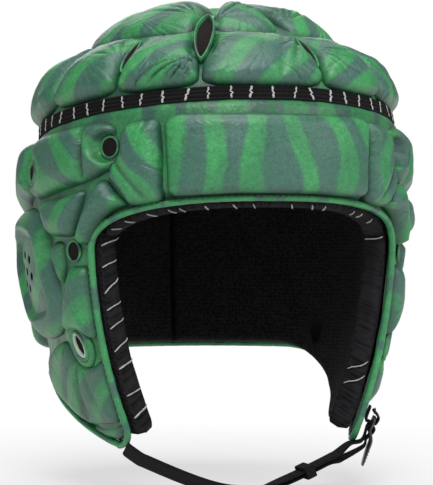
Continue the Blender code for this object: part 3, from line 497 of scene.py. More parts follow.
def cut(obj, verts, faces, material=None):
    """Takes a closed mesh out of the piece."""
    data = bpy.data.meshes.new("cutter")
    data.from_pydata([tuple(v) for v in verts], [], faces)
    cutter = bpy.data.objects.new("cutter", data)
    bpy.context.scene.collection.objects.link(cutter)
    boolean = obj.modifiers.new("Cut", "BOOLEAN")
    boolean.operation = "DIFFERENCE"
    boolean.solver = "EXACT"
    boolean.object = cutter
    if material:
        data.materials.append(material)
        boolean.material_mode = "TRANSFER"
    apply_modifiers(obj)
    bpy.data.objects.remove(cutter, do_unlink=True)


# Leather pads

STEP = 0.0012
PLEATS = 9
UNDER_SHARES = np.array((1, 0.8, 0.6, 0.4, 0.2))


def outline_of(corners, share):
    """The pad's rounded outline as even steps, counter-clockwise seen from outside, and its length."""
    corners = np.asarray(corners, float)
    following = np.roll(corners, -1, 0)
    if np.sum(corners[:, 0] * following[:, 1] - following[:, 0] * corners[:, 1]) < 0:
        corners = corners[::-1]
    t = np.linspace(0, 1, 17)[:, None]
    straight = np.linspace(0, 1, 40)[1:-1, None]
    points = []
    for before, corner, after in zip(np.roll(corners, 1, 0), corners, np.roll(corners, -1, 0)):
        start, end = corner + (before - corner) * share, corner + (after - corner) * share
        points.append((1 - t) ** 2 * start + 2 * t * (1 - t) * corner + t**2 * end)
        points.append(end + (after + (corner - after) * share - end) * straight)
    line = np.concatenate(points)
    run = run_along(looped(form(*line.T)))
    wanted = np.linspace(0, run[-1], int(run[-1] / STEP), endpoint=False)
    return sampled(wanted, run, looped(line)), run[-1]


def offset(line, length):
    """The closed outline moved outwards by a length on the form."""
    place = form(line[:, 0], line[:, 1])
    tangent = unit(np.roll(place, -1, 0) - np.roll(place, 1, 0))
    outward = np.cross(tangent, normal(line[:, 0], line[:, 1]))
    by_bearing = (form(line[:, 0] + 0.1, line[:, 1]) - place) / 0.1
    by_level = (form(line[:, 0], line[:, 1] - 0.0001) - place) / -0.0001
    moved = line.copy()
    moved[:, 0] += length * (outward * by_bearing).sum(-1) / (by_bearing**2).sum(-1)
    moved[:, 1] += length * (outward * by_level).sum(-1) / (by_level**2).sum(-1)
    return moved


def away_from(start, end):
    """A function of points: how far they lie from the line between two places on the form."""
    a, b = form(*start), form(*end)
    ab = b - a

    def away(place):
        t = np.clip((place - a) @ ab / max(ab @ ab, 1e-12), 0, 1)
        return np.linalg.norm(place - a - t[:, None] * ab, axis=1)

    return away


def channel(start, end, width, depth):
    """A sewn channel between two places on the form, with a painted shade line along the bottom of its groove."""
    away = away_from(start, end)
    return lambda place: (depth * np.exp(-(away(place) / width) ** 1.5), np.exp(-(away(place) / 0.0011) ** 2))


def crater(start, end, radius, floor, rim):
    """The hollow of the pads round a vent or a slit that runs between two places on the form."""
    away = away_from(start, end)
    return lambda place: (smooth(radius + rim, radius, away(place)), floor)


def fan(origin, toward, half_angle, pleats, depth, near, far):
    """Folds that radiate from a place on the form towards another."""
    start, end = form(*origin), form(*toward)
    out = normal(*origin)
    ahead = unit(end - start - out * ((end - start) @ out))
    side = np.cross(out, ahead)

    def lowered(place):
        x, y = (place - start) @ ahead, (place - start) @ side
        angle = np.degrees(np.arctan2(y, np.maximum(x, 1e-5)))
        reach = np.hypot(x, y)
        window = smooth(half_angle, half_angle * 0.55, np.abs(angle)) * (x > 0)
        window = window * smooth(0.0, near, reach) * smooth(far, far * 0.45, reach)
        turns = math.pi * pleats * (angle + 2.5 * np.sin(reach * 120)) / half_angle
        sunk = np.maximum(0, np.cos(turns) + 0.3 * np.cos(0.43 * turns)) ** 1.3 * window
        # the second value is painted shade in the folds' valleys
        return depth * sunk, 0.5 * sunk

    return lowered


def leather_pad(name, corners, thickness, slot="padding", twist=0.0, channels=(), craters=(), gather=0.00045,
                share=0.3, rings=22, edge=0.009, ear=False, turn=None, grow=0.0005, squareness=2.6, lump=0.0005,
                fall=None):
    """A stuffed pad on the form: a swollen top with gathers, folds and hollows, over a flat underside."""
    rng = seeded(name)
    line, length = outline_of(corners, share)
    line = offset(line, grow)
    count = len(line)
    middle = line.mean(0)

    def shrunk(shares):
        flat = middle + (line[None] - middle) * shares[:, None, None]
        flat = np.concatenate((flat.reshape(-1, 2), middle[None]))
        return flat[:, 0] + twist, flat[:, 1]

    bearing, level = shrunk(1 - (np.arange(rings) / rings) ** 1.5)
    place = form(bearing, level)
    d = segment_distance(place, place[:count])
    d[:count] = 0
    most = d.max()
    base = 0.0007
    top = thickness - 0.0010 + 0.0012 * smooth(0, most, d)
    rise = base + (top - base) * rounded(d, min(edge, 0.85 * most), squareness)
    if ear:
        rise -= 0.0044 * smooth(0.0118, 0.0165, d)
        rise += 0.0010 * np.exp(-((d - 0.0105) / 0.003) ** 2)
    if fall:
        rise *= 1 - fall(bearing - twist, level) / thickness
    # gathers at the seam
    around = math.tau * np.append(np.tile(np.arange(count), rings), 0) / count
    pleat = np.zeros(len(place))
    numbers = np.maximum(2, np.round(length / rng.uniform(0.0034, 0.0085, PLEATS)))
    for number, phase, size in zip(numbers, rng.uniform(0, math.tau, PLEATS), rng.uniform(0.5, 1, PLEATS)):
        pleat += size * np.sin(number * around + phase) / 3
    uneven = 0.55 + 0.45 * np.sin(np.round(length / 0.05) * around + rng.uniform(0, 6))
    pleat = np.maximum(0, pleat) ** 1.4 * uneven * np.exp(-d / 0.0058) * (1 - np.exp(-d / 0.0009))
    rise -= 2.6 * gather * pleat
    inner = smooth(0, 0.007, d)
    rise += lump * waves(rng, 7, 0.016, 0.042)(place) * inner
    rise += 0.18 * lump * waves(rng, 12, 0.005, 0.010)(place) * inner
    # painted shade: darker along the seam round the pad's edge and in the gathers
    crease_shade = np.exp(-(d / 0.0014) ** 1.5) + 0.35 * pleat
    if ear:
        # painted shade in the corner where the ear pad's dish meets its rim
        crease_shade += 0.35 * np.exp(-((d - 0.0168) / 0.0012) ** 2)
    for lowered in channels:
        # each channel or fold also gives painted shade along its valley
        depth, dark = lowered(place)
        rise -= depth * inner
        crease_shade += dark * inner
    for sunk in craters:
        share_down, floor = sunk(place)
        rise -= np.maximum(0, rise - floor) * share_down
        # painted shade on the slopes of the hollow
        crease_shade += 2 * share_down * (1 - share_down)
    upper = place + normal(bearing, level) * np.maximum(rise, base)[:, None]
    lower = on_form(*shrunk(UNDER_SHARES), 0.0003)
    last, start = rings * count, rings * count + 1
    under = start + (len(UNDER_SHARES) - 1) * count
    faces = grid_faces(rings, count, wrap=True) + spokes(last - count, last, count) + bridge(start, 0, count)
    faces += grid_faces(len(UNDER_SHARES), count, wrap=True, start=start, flip=True)
    faces += spokes(under, under + count, count, flip=True)
    # cloth coordinates: the pad laid flat round its middle, turned and moved at random
    verts = np.concatenate((upper, lower))
    out = normal(bearing[last], level[last])
    right = unit(np.cross((0, 0, 1), out)) if abs(out[2]) < 0.98 else np.array((1.0, 0, 0))
    away = verts - upper[last]
    u, v = away @ right, away @ np.cross(out, right)
    stretch = np.minimum(np.linalg.norm(away, axis=1) / np.maximum(np.hypot(u, v), 1e-6), 1.4)
    angle = math.radians(rng.uniform(-70, 70) if turn is None else turn)
    cos, sin = math.cos(angle) * stretch, math.sin(angle) * stretch
    cloth = np.stack((u * cos - v * sin, u * sin + v * cos, np.zeros(len(u))), -1)
    cloth += np.append(rng.uniform(0, 4, 2), 0)
    # the hidden underside takes full painted shade
    crease_shade = np.concatenate((np.clip(crease_shade, 0, 1), np.ones(len(lower))))
    obj = add_piece("leather_" + name, verts, faces, cloth, LEATHER, slot, (name,), crease_shade=crease_shade, angle=80)
    return obj


def mirrored(corners):
    return [(-bearing, level) for bearing, level in reversed(corners)]


def side_level(bearing, share):
    return share * (band_level(bearing) if share > 0 else -JAW_LEVEL)


def side_corners(shares):
    return [(bearing, float(side_level(bearing, share))) for bearing, share in shares]


def crown_level(bearing, share):
    low = band_level(bearing)
    return float(low + (CROWN_TOP - low) * share)


GORES = (-21.0, 21.0, 49.0, 78.0, 111.0, 145.0)
WIDE_SLIT = 21.0
TIER = 0.46
FOOT = 0.0054
HALF_GAP = 0.0011
WAIST_SHARES = (0, 0.34, 0.68, 1)
WAIST_GAPS = (HALF_GAP, HALF_GAP, 0.0036, HALF_GAP)
WIDE_GAPS = (HALF_GAP, HALF_GAP, 0.0058, 0.0026)


def tier_level(bearing, share):
    """A level on the lower tier of the crown pads, from their foot at 0 to their top at 1."""
    foot = float(band_level(bearing)) + FOOT
    return foot + (crown_level(bearing, TIER) - foot) * share


def gore(start, end, wide=()):
    """The corners of a lower-tier pad, drawn in at its sides for the vent slits."""
    corners = []
    for bearing, side in ((start, 1), (end, -1)):
        ladder = []
        for share, gap in zip(WAIST_SHARES, WIDE_GAPS if bearing in wide else WAIST_GAPS):
            level = tier_level(bearing, share)
            ladder.append((bearing + side * float(shift(level, gap)), level))
        corners += ladder[::-side]
    return corners


def top_sector(start, end, columns):
    """The corners of an upper-tier pad."""
    rows = []
    for share in (TIER + 2 * HALF_GAP / (CROWN_TOP - BAND_LEVEL), 0.95):
        row = []
        for k in range(columns + 1):
            bearing = start + (end - start) * k / columns
            level = crown_level(bearing, share)
            row.append((bearing + ((k == 0) - (k == columns)) * float(shift(level, HALF_GAP)), level))
        rows.append(row)
    return rows[0] + rows[1][::-1]


SIDES = {
    "temple_pad": ((33.6, .385), (39.5, .365), (43.0, .362), (46.4, .44), (50.2, .535), (49.4, .60), (48.2, .66),
                   (47.6, .74), (46.2, .82), (43.6, .86), (35.0, .866), (34.2, .748), (33.5, .557)),
    "temple_roll": ((44.8, .368), (50.0, .335), (54.9, .258), (58.3, .17), (59.6, .125), (61.3, .13), (61.4, .175),
                    (58.8, .31), (56.0, .44), (53.0, .515), (51.0, .50), (46.9, .405)),
    "upper_side_pad": ((50.6, .585), (56, .54), (62.5, .513), (74, .478), (87.4, .445), (87.4, .895), (60, .89),
                       (53.8, .885), (49.4, .85), (48.9, .74), (49.6, .65)),
    "temple_triangle_pad": ((64.6, .178), (76.0, .19), (79.2, .30), (81.0, .41), (67.5, .43), (59.4, .462),
                            (60.6, .34)),
    "rear_side_pad": ((91.0, .50), (98, .485), (113, .37), (118.6, .33), (118.6, .885), (91.0, .89)),
    "sideburn_pad": ((70.8, .125), (75.0, .125), (75.8, .037), (74.0, -.038), (72.6, -.126), (70.6, -.038)),
    "cheek_pad": ((60.6, -.035), (66.6, -.033), (69.6, -.12), (72.2, -.22), (74.6, -.335), (73.2, -.37),
                  (70.5, -.352), (66.5, -.362), (62.8, -.395), (60.6, -.40)),
    "jaw_pad": ((60.9, -.85), (66, -.865), (72, -.875), (78, -.88), (84, -.845), (90, -.79), (96.5, -.725),
                (97.5, -.62), (94, -.54), (87, -.485), (80.5, -.455), (76, -.455), (72.6, -.545), (67.5, -.575),
                (62.6, -.56), (60.6, -.54)),
    "jaw_patch": ((61.2, -.885), (62.4, -.935), (66.5, -.968), (73, -.960), (79, -.925), (77, -.905), (70, -.900)),
    "neck_side_pad": ((119.2, -.515), (150.8, -.47), (150.8, .275), (119.4, .275)),
    "occipital_pad": ((119.9, .315), (179.1, .315), (179.1, .895), (119.9, .89)),
}
BUCKLED = {
    "jaw_pad": ((60.8, -.75), (72, -.80), (80, -.80), (88, -.755), (95.5, -.68), (96.5, -.60), (94, -.54),
                (87, -.485), (80.5, -.455), (76, -.455), (72.6, -.545), (67.5, -.575), (62.6, -.56), (60.6, -.54)),
    "jaw_patch": ((62, -.775), (63.4, -.90), (68, -.955), (78, -.915), (83, -.84), (72, -.83)),
}
THICKNESS = {"sideburn_pad": 0.0080, "cheek_pad": 0.0096, "jaw_pad": 0.0068, "neck_side_pad": 0.0169,
             "rear_side_pad": 0.0160, "upper_side_pad": 0.0142, "jaw_patch": PATCH}
# Sewn channels: from, to, width and depth
CHANNELS = {
    "upper_side_pad": ((59.8, 0.0), (59.8, BAND_LEVEL), 0.0024, 0.0062),
    "occipital_pad": ((148.0, 0.0), (148.0, BAND_LEVEL), 0.0030, 0.0052),
    "temple_pad": ((48.2, 0.0560), (37.4, 0.0335), 0.0034, 0.0030),
}
TURNS = {"temple_pad": 24, "cheek_pad": -35}
VENTS = {"upper": (50.6, .727), "lower": (65.2, .070)}
SLIT_VENT = (84.2, 0.050)
SLIT_RISE = 0.0125
EYELET = (68.0, -.445)
EAR = ((87, -.425), (94.5, -.44), (102.5, -.39), (111, -.22), (116.5, .03), (115.5, .25), (105, .42), (92, .40),
       (84.4, .355), (79.9, .27), (78.2, .148), (77.6, .025), (75.4, -.077), (74.2, -.153), (74.0, -.258),
       (76.2, -.344), (80.6, -.40))
NECK = ((152.5, -.47), (207.5, -.47), (207.5, .275), (152.5, .275))
FOREHEAD = ((-32.8, .89), (-31.0, .40), (-10.6, .416), (10.6, .416), (31.0, .40), (32.8, .89))


def crown_fall(bearing, level):
    """How a crown pad thins towards the line between the tiers."""
    share = (level - band_level(bearing)) / (CROWN_TOP - band_level(bearing))
    lower = smooth(0.45 * TIER, TIER, share)
    upper = 1 - smooth(TIER, TIER + 0.45 * (1 - TIER), share)
    return 0.0055 * np.where(share < TIER, lower, upper)


def ear_fall(bearing, level):
    """How the ear pad thins towards its foot and its front."""
    ahead = np.maximum(0, 108 - np.abs(bearing)) * math.radians(1) * HALF_WIDTH
    return 0.06 * np.maximum(0, 0.012 - level) + 0.11 * ahead


def slit_reach(bearing):
    """The lowest and the highest level of the slit at a gore's edge."""
    return [tier_level(bearing, share) for share in ((0.36, 1.42) if bearing == -WIDE_SLIT else (0.30, 0.86))]


def on_side(corners, side):
    return corners if side > 0 else mirrored(corners)


SEWN = (0.0030, 0.0052)
SIDE_LOOK = {"slot": "padding", "edge": 0.0095, "lump": 0.0008, "gather": 0.00036, "grow": 0.0015}
PATCH_LOOK = {"slot": "leather", "edge": 0.003, "lump": 0.0001, "gather": 0.0001, "grow": 0.0003}


def make_crown_pads():
    foot = tier_level(20, 0)
    fans = {
        "crown_pad_front": ((20, foot + 0.030), (4, foot), 38, 4, 0.0011, 0.008, 0.038),
        "crown_pad_front_right": ((GORES[0] + CROWN_TURN, tier_level(20, 0.36)), (-37, foot - 0.009), 36, 8,
                                  0.0025, 0.002, 0.084),
        "crown_pad_side_right": ((-52, foot + 0.014), (-62, foot + 0.03), 60, 5, 0.0010, 0.004, 0.026),
        "crown_pad_front_left": ((19, foot + 0.020), (34, foot + 0.004), 40, 5, 0.0012, 0.004, 0.034),
        "crown_pad_side_left": ((47, foot + 0.022), (60, foot), 36, 5, 0.0012, 0.004, 0.034),
        "top_pad_front": ((-19, foot + 0.046), (8, foot + 0.060), 50, 5, 0.0014, 0.004, 0.034),
        "top_pad_right": ((-27, foot + 0.046), (-50, foot + 0.062), 46, 6, 0.0014, 0.004, 0.040),
        "top_pad_left": ((27, foot + 0.046), (50, foot + 0.062), 46, 6, 0.0014, 0.004, 0.040),
    }
    rear = 180 + CROWN_TURN
    sewn = {
        "crown_pad_front": (channel((GORES[1] * 0.2 + CROWN_TURN, tier_level(0, 0)),
                                    (GORES[1] * 0.8 + CROWN_TURN, crown_level(GORES[1], TIER)), 0.0022, 0.0034),),
        "crown_pad_rear": (channel((rear, NAPE_LEVEL), (rear, crown_level(180, 0.8)), *SEWN),),
    }
    shapes = {"crown_pad_front": gore(GORES[0], GORES[1], (-WIDE_SLIT,))}
    for start, end, name in zip(GORES[1:], GORES[2:], ("front", "side", "back_side", "rear_side")):
        for side, word in FLANKS:
            wide = (WIDE_SLIT,) if side < 0 else ()
            shapes[f"crown_pad_{name}_{word}"] = on_side(gore(start, end, wide), side)
    shapes["crown_pad_rear"] = gore(GORES[-1], 360 - GORES[-1])
    shapes["top_pad_front"] = top_sector(-22, 22, 1)
    shapes["top_pad_rear"] = top_sector(111, 249, 3)
    for side, word in FLANKS:
        shapes["top_pad_" + word] = on_side(top_sector(22, 111, 2), side)
        bearing = side * GORES[3] + CROWN_TURN
        ends = [(bearing, crown_level(GORES[3], share)) for share in (TIER, 0.9)]
        sewn["top_pad_" + word] = (channel(*ends, *SEWN),)
    low, high = slit_reach(-WIDE_SLIT)
    bearing = -WIDE_SLIT + CROWN_TURN
    hollow = crater((bearing, low + 0.006), (bearing, high - 0.007), 0.0042, 0.004, 0.005)
    turns = {"crown_pad_front": 34, "top_pad_front": -50}
    for name, corners in shapes.items():
        folds = (fan(*fans[name]),) if name in fans else ()
        leather_pad(name, corners, PAD, twist=CROWN_TURN, gather=0.0008, lump=0.0009, squareness=2.2, edge=0.011,
                    fall=crown_fall, craters=(hollow,), rings=38, turn=turns.get(name),
                    channels=sewn.get(name, ()) + folds)


def make_side_pads():
    leather_pad("forehead_pad", side_corners(FOREHEAD), LOWER_PAD, share=0.13, gather=0.00014, turn=-14,
                slot="leather", edge=0.0075, lump=0.0003, rings=34, grow=0.0009)
    for name, shares in SIDES.items():
        for side, word in FLANKS:
            corners = side_corners(BUCKLED.get(name, shares) if side > 0 else shares)
            sewn, hollows = (), ()
            if name in CHANNELS:
                start, end, *section = CHANNELS[name]
                sewn = (channel((side * start[0], start[1]), (side * end[0], end[1]), *section),)
            if name in ("upper_side_pad", "temple_pad"):
                bearing, share = VENTS["upper"]
                vent = (side * bearing, float(side_level(bearing, share)))
                hollows = (crater(vent, vent, 0.0066, 0.0046, 0.0042),)
            if name in ("upper_side_pad", "rear_side_pad"):
                vent = (side * SLIT_VENT[0], SLIT_VENT[1])
                hollows += (crater(vent, vent, 0.0064, 0.0122, 0.0036),)
            if name == "jaw_pad":
                sewn = (fan((side * 71.0, -0.050), (side * 78, -0.092), 46, 3, 0.0011, 0.004, 0.060),)
            leather_pad(f"{name}_{word}", on_side(corners, side), THICKNESS.get(name, LOWER_PAD), channels=sewn,
                        craters=hollows, turn=side * TURNS[name] if name in TURNS else None, share=0.22,
                        squareness=2.2, **(PATCH_LOOK if name == "jaw_patch" else SIDE_LOOK))
    leather_pad("neck_pad", side_corners(NECK), LOWER_PAD * 1.1)


def directions(bearing, level, tilt=0.0):
    """Outward, and across and up leaned by tilt degrees, at a place on the form."""
    out = normal(bearing, level)
    flat = unit(np.cross((0, 0, 1), out))
    upright = np.cross(out, flat)
    lean = math.radians(tilt)
    along = flat * math.cos(lean) + upright * math.sin(lean)
    return out, along, upright * math.cos(lean) - flat * math.sin(lean)


def oval(count, half_x, half_z, along, up):
    """The points of an oval round zero."""
    turn = np.arange(count)[:, None] * math.tau / count
    return np.cos(turn) * half_x * along + np.sin(turn) * half_z * up


def disc_cutter(bearing, level, half_x, half_z, low, high, sides=24):
    """A closed oval cylinder that stands square to the form."""
    ring = oval(sides, half_x, half_z, *directions(bearing, level)[1:])
    verts = np.concatenate((on_form(bearing, level, low) + ring, on_form(bearing, level, high) + ring))
    return verts, bridge(0, sides, sides) + cap(0, sides, flip=True) + cap(sides, sides), verts


def make_ear_pads():
    for side, word in FLANKS:
        holes = []
        for k in range(7):
            turn, reach = math.tau * k / 6 + 0.26, 0.0100 if k < 6 else 0
            bearing = 97.0 + math.degrees(reach * math.cos(turn) / HALF_WIDTH)
            level = -0.006 + reach * math.sin(turn)
            holes.append(disc_cutter(side * bearing, level, 0.0025, 0.0025, 0.0025, 0.020))
        pad = leather_pad("ear_pad_" + word, on_side(side_corners(EAR), side), EAR_PAD, ear=True, edge=0.0135,
                          lump=0.0004, gather=0.0002, rings=40, squareness=2.0, fall=ear_fall)
        # the holes' walls take the dark mesh material, which stands in for the shade inside the holes
        cut(pad, *merged(holes)[:2], DARK_MESH)


# The cloth under the pads, the band and the edges

def to_edge(bearings, levels, inset):
    """How far places on the form lie from the side panel's edge, moved in by an inset."""
    return segment_distance(form(bearings, levels).reshape(-1, 3), form(*edge_path(inset)))


def skin_panel(name, bearings, levels, rise, cloth, node, closed_top=False):
    """A closed layer of cloth from rows of bearings and levels, every row closed on itself."""
    rows, columns = levels.shape
    count, last = rows * columns, (rows - 1) * columns
    faces = grid_faces(rows, columns, wrap=True) + grid_faces(rows, columns, wrap=True, start=count, flip=True)
    faces += bridge(count, 0, columns)
    if closed_top:
        faces += cap(last, columns) + cap(count + last, columns, flip=True)
    else:
        faces += bridge(last, count + last, columns)
    verts = np.stack((on_form(bearings, levels, rise), on_form(bearings, levels, rise - COVER))).reshape(-1, 3)
    # painted shade: the cloth between the pads a little darker all over and much darker in a line just inside the
    # panel's edge beside the binding; the inner layer takes full painted shade
    dark = 0.30 + 0.65 * np.exp(-(to_edge(bearings, levels, 0.0026) / 0.0012) ** 2)
    return add_piece(name, verts, faces, np.stack((cloth, cloth)).reshape(-1, 3), SKIN, "backing", (node,),
                     crease_shade=np.concatenate((dark, np.ones(count))), angle=50)


def skin_rise(bearing, level):
    """How high the padded cloth between the side pads stands off the form."""
    bearing, level = np.broadcast_arrays(np.asarray(bearing, float), np.asarray(level, float))
    away = np.minimum(to_edge(bearing, level, 0.002).reshape(level.shape), band_level(bearing) - level)
    full = 0.0032 + 0.0020 * smooth(0.005, 0.03, level) - 0.0012 * smooth(-0.080, -0.090, level)
    # it lies lower in the valley between the ear pad and the jaw pad
    aside = np.abs((bearing + 180) % 360 - 180)
    full = full - 0.0020 * smooth(74, 80, aside) * smooth(-0.062, -0.054, level) * smooth(-0.026, -0.038, level)
    return full * smooth(0.0, 0.007, away)


def make_skins():
    bearing, level = edge_path(0.0012)
    run = run_along(looped(form(bearing, level)))
    top = 360 * run[:-1] / run[-1]
    turn = np.where(np.arange(len(bearing)) > len(bearing) / 2, bearing + 360, bearing)
    share = np.linspace(0, 1, 64)[:, None] ** 1.15
    bearings = turn + (top - turn) * share
    levels = level + (band_level(top) - SEAM / 2 - level) * share
    lump = 0.0004 * waves(seeded("side"), 9, 0.008, 0.025)(form(bearings, levels).reshape(-1, 3))
    cloth = np.stack((np.radians(bearings) * HALF_WIDTH, levels, np.zeros_like(levels)), -1)
    rise = lump.reshape(levels.shape) - 0.0002 + skin_rise(bearings, levels)
    side = skin_panel("leather_side_panel", bearings, levels, rise, cloth, "side_cover")
    turns = np.linspace(0, 360, 200, endpoint=False)[None]
    low = band_level(turns) + SEAM / 2
    levels = low + (CROWN_TOP - low) * np.linspace(0, 0.995, 30)[:, None]
    bearings = np.broadcast_to(turns, levels.shape)
    cloth = form(bearings, levels) * (1.2, 1.2, 0)
    rise = 0.0026 * smooth(0.0, 0.009, levels - low) - 0.0002
    skin_panel("leather_crown_panel", bearings, levels, rise, cloth, "crown_cover", closed_top=True)
    return side


def make_binding():
    bearing, level = edge_path()
    points = on_form(bearing, level, 0.0013)
    pucker = waves(seeded("binding"), 9, 0.003, 0.006)(points) * 0.00012
    tube = sweep(points, normal(bearing, level), 0.0017 + pucker, 0.0020 + pucker, 14, closed=True, power=2.4)
    # a faint even painted shade over the binding
    add_piece("edge_binding_leather", *tube, BINDING, "binding", ("edge_binding",), crease_shade=0.05)
    # topstitches along the pad side of the binding
    bearing, level = edge_path(0.0013)
    line, run, starts = along_line(on_form(bearing, level, 0.0027), 0.0036)
    stitches = []
    for start in starts:
        t = start + np.linspace(0, 0.0023, 5)
        out = unit(sampled(t, run, looped(normal(bearing, level))))
        hump = np.array((-0.0004, 0.00005, 0.0002, 0.00005, -0.0004))[:, None]
        width = 0.00020 * np.array((0.5, 1, 1, 1, 0.5))
        stitches.append(sweep(sampled(t, run, line) + out * hump, out, width, 0.00020, 6))
    add_piece("edge_topstitch", *merged(stitches), GREEN_THREAD, "binding")


def along_line(points, spacing):
    """The closed line of the points, its run, and even places along it."""
    line = looped(points)
    run = run_along(line)
    count = int(run[-1] / spacing)
    return line, run, np.arange(count) * run[-1] / count


def make_band():
    """Ribbed elastic round the crown with pale zigzag stitches."""
    turns = np.linspace(0, 360, 900, endpoint=False)
    half = BAND_HEIGHT / 2 + 0.0001
    ribs = 4
    t = np.linspace(0, 1, 31)
    edge = np.minimum(t, 1 - t) * 2 * half
    groove = 0.0009 * np.cos(math.pi * ribs * t) ** 2 * np.minimum(1, edge / 0.001)
    ups = np.append((t - 0.5) * 2 * half, (half, -half))
    rises = np.append(0.0016 + 0.0022 * rounded(edge, 0.0016, 2.2) - groove, (0.0009, 0.0009))
    wobble = waves(seeded("band"), 7, 0.02, 0.06)(form(turns, band_level(turns))) * 0.00035
    run = np.radians(turns) * HALF_WIDTH
    fine = 0.00010 * np.sin(run * math.tau / 0.0014)
    rows, cloth = [], []
    for up, rise in zip(ups, rises):
        rows.append(on_form(turns, band_level(turns) + up + wobble, rise + (fine if rise > 0.001 else 0)))
        cloth.append(np.stack((run, np.full(len(run), up + rise), np.zeros(len(run))), -1))
    faces = grid_faces(len(rows), len(turns), wrap=True)
    faces += bridge((len(rows) - 1) * len(turns), 0, len(turns))
    add_piece("elastic_band_ribbed", np.concatenate(rows), faces, np.concatenate(cloth), ELASTIC, "elastic",
              ("elastic_band",), angle=70)
    rng = seeded("dashes")
    dashes = []
    total = 53
    ups = np.array((-0.0036, -0.0029, -0.0021, -0.0012, -0.0004, 0.0005, 0.0013, 0.0021, 0.0029, 0.0036))
    zig = np.array((1.0, 0.15, 0.0, 0.05, 0.75, -0.55, -0.1, 0.0, -0.15, -0.9))
    dip = np.array((-0.0006, 0.0, 0.0, -0.0001, -0.0001, -0.0001, 0.0, 0.0, 0.0, -0.0006))
    thin = np.array((0.4, 0.9, 1, 0.9, 0.7, 0.7, 0.9, 1, 0.9, 0.4))
    for k in range(total):
        bearing = 360 * (k + rng.uniform(-0.12, 0.12)) / total
        lean = rng.uniform(-0.9, 1.4) * (1 if bearing < 180 else -1)
        hook = rng.choice((-1, 1)) * rng.uniform(0.5, 1.0)
        side = zig * hook * 0.0013 + ups * 0.35 * lean
        level = band_level(bearing) + ups + np.interp(bearing, turns, wobble)
        place = bearing + np.degrees(side / HALF_WIDTH), level
        rise = 0.0037 + dip - 0.0010 * np.maximum(0, np.abs(ups) - 0.0030) / 0.0008
        width = thin * 0.00068 * rng.uniform(0.75, 1.15)
        dashes.append(sweep(on_form(*place, rise), normal(*place), width, width * 0.6, 8))
    add_piece("band_dashes", *merged(dashes), THREAD, "elastic")


def make_trim():
    """The rolled leather trim just under the band."""
    turns = np.linspace(0, 360, 720, endpoint=False)
    level = band_level(turns) - BAND_HEIGHT / 2 - 0.0019
    points = on_form(turns, level, 0.0016)
    pucker = waves(seeded("trim"), 12, 0.006, 0.02)(points) * 0.00025
    tube = sweep(points, normal(turns, level), 0.0018 + pucker, 0.0020 + pucker, 12, closed=True)
    # a faint even painted shade over the trim
    add_piece("band_trim_leather", *tube, SKIN, "binding", crease_shade=0.1)


def slab(name, place, columns, rows, middle, half, edge, node, closed=False):
    """A foam layer with rounded edges: place(across, up) gives bearings and levels."""
    across = np.linspace(0, 1, columns, endpoint=not closed)
    up = np.linspace(0, 1, rows)
    if not closed:
        across = (1 - np.cos(np.pi * across)) / 2 * 0.35 + across * 0.65
    bearings, levels = place(*np.meshgrid(across, (1 - np.cos(np.pi * up)) / 2 * 0.5 + up * 0.5))
    flat = form(bearings, levels)
    rim = flat[0] if closed else np.concatenate((flat[0], flat[1:, -1], flat[-1, :-1][::-1], flat[1:-1, 0][::-1]))
    d = segment_distance(flat.reshape(-1, 3), rim).reshape(levels.shape)
    d[0] = 0
    if not closed:
        d[-1], d[:, 0], d[:, -1] = 0, 0, 0
    swell = rounded(d, edge, 3.0)
    lump = 0.0004 * waves(seeded(name), 8, 0.012, 0.03)(flat.reshape(-1, 3)).reshape(d.shape) * swell
    verts = np.stack((on_form(bearings, levels, middle + half * swell),
                      on_form(bearings, levels, middle - half * swell + lump))).reshape(-1, 3)
    count, last = rows * columns, (rows - 1) * columns
    faces = grid_faces(rows, columns, wrap=closed) + grid_faces(rows, columns, wrap=closed, start=count, flip=True)
    if closed:
        faces += cap(last, columns) + cap(count + last, columns, flip=True)
    around, depth = np.radians(bearings) * HALF_WIDTH, (1 - swell) * half
    cloth = np.stack([np.stack((around, levels + sign * depth, d * 0), -1) for sign in (1, -1)]).reshape(-1, 3)
    obj = add_piece(name, verts, faces, cloth, MESH, "lining", (node,), angle=80)
    obj.modifiers.new("Weld", "WELD").merge_threshold = 0.00002
    apply_modifiers(obj)
    return obj


LINER_MIDDLE = -(COVER + LINER_GAP + LINER / 2)
LINER_EDGE = 0.0055
SEAM_BEARING = FACE_HALF_BEARING - math.degrees(LINER_LIP / HALF_WIDTH)


def make_liners():
    def crown(a, u):
        low = band_level(360 * a) + SEAM
        return 360 * a, low + (CROWN_TOP * 0.9995 - low) * u

    def brow(a, u):
        bearing = (2 * a - 1) * (SEAM_BEARING - math.degrees(0.0008 / HALF_WIDTH))
        low = face_top(bearing) - LINER_LIP
        return bearing, low + (band_level(bearing) - SEAM - low) * u

    def flank(a, u, side):
        share = a if side > 0 else 1 - a
        far = 180 - math.degrees(0.0005 / HALF_WIDTH)
        bearing = SEAM_BEARING + (far - SEAM_BEARING) * share
        low = np.maximum(rim_level(bearing), JAW_LEVEL + 0.004)
        level = low + (band_level(bearing) - SEAM - low) * u
        drop = np.clip((JAW_LEVEL + JAW_CORNER_RISE - level) / JAW_CORNER_RISE, 0, 1)
        start = SEAM_BEARING + JAW_CORNER_BEARING * (1 - np.sqrt(1 - drop * drop))
        return side * (start + (far - start) * share), level

    slab("mesh_crown_lining", crown, 120, 30, -(COVER + 0.0006 + CROWN_LINER / 2), CROWN_LINER / 2, 0.004,
         "crown_liner", closed=True)
    slab("mesh_brow_lining", brow, 110, 34, LINER_MIDDLE, LINER / 2, LINER_EDGE, "brow_liner")
    return [slab("mesh_side_lining_" + word, lambda a, u: flank(a, u, side), 130, 80, LINER_MIDDLE, LINER / 2,
                 LINER_EDGE, "side_liner_" + word) for side, word in FLANKS]


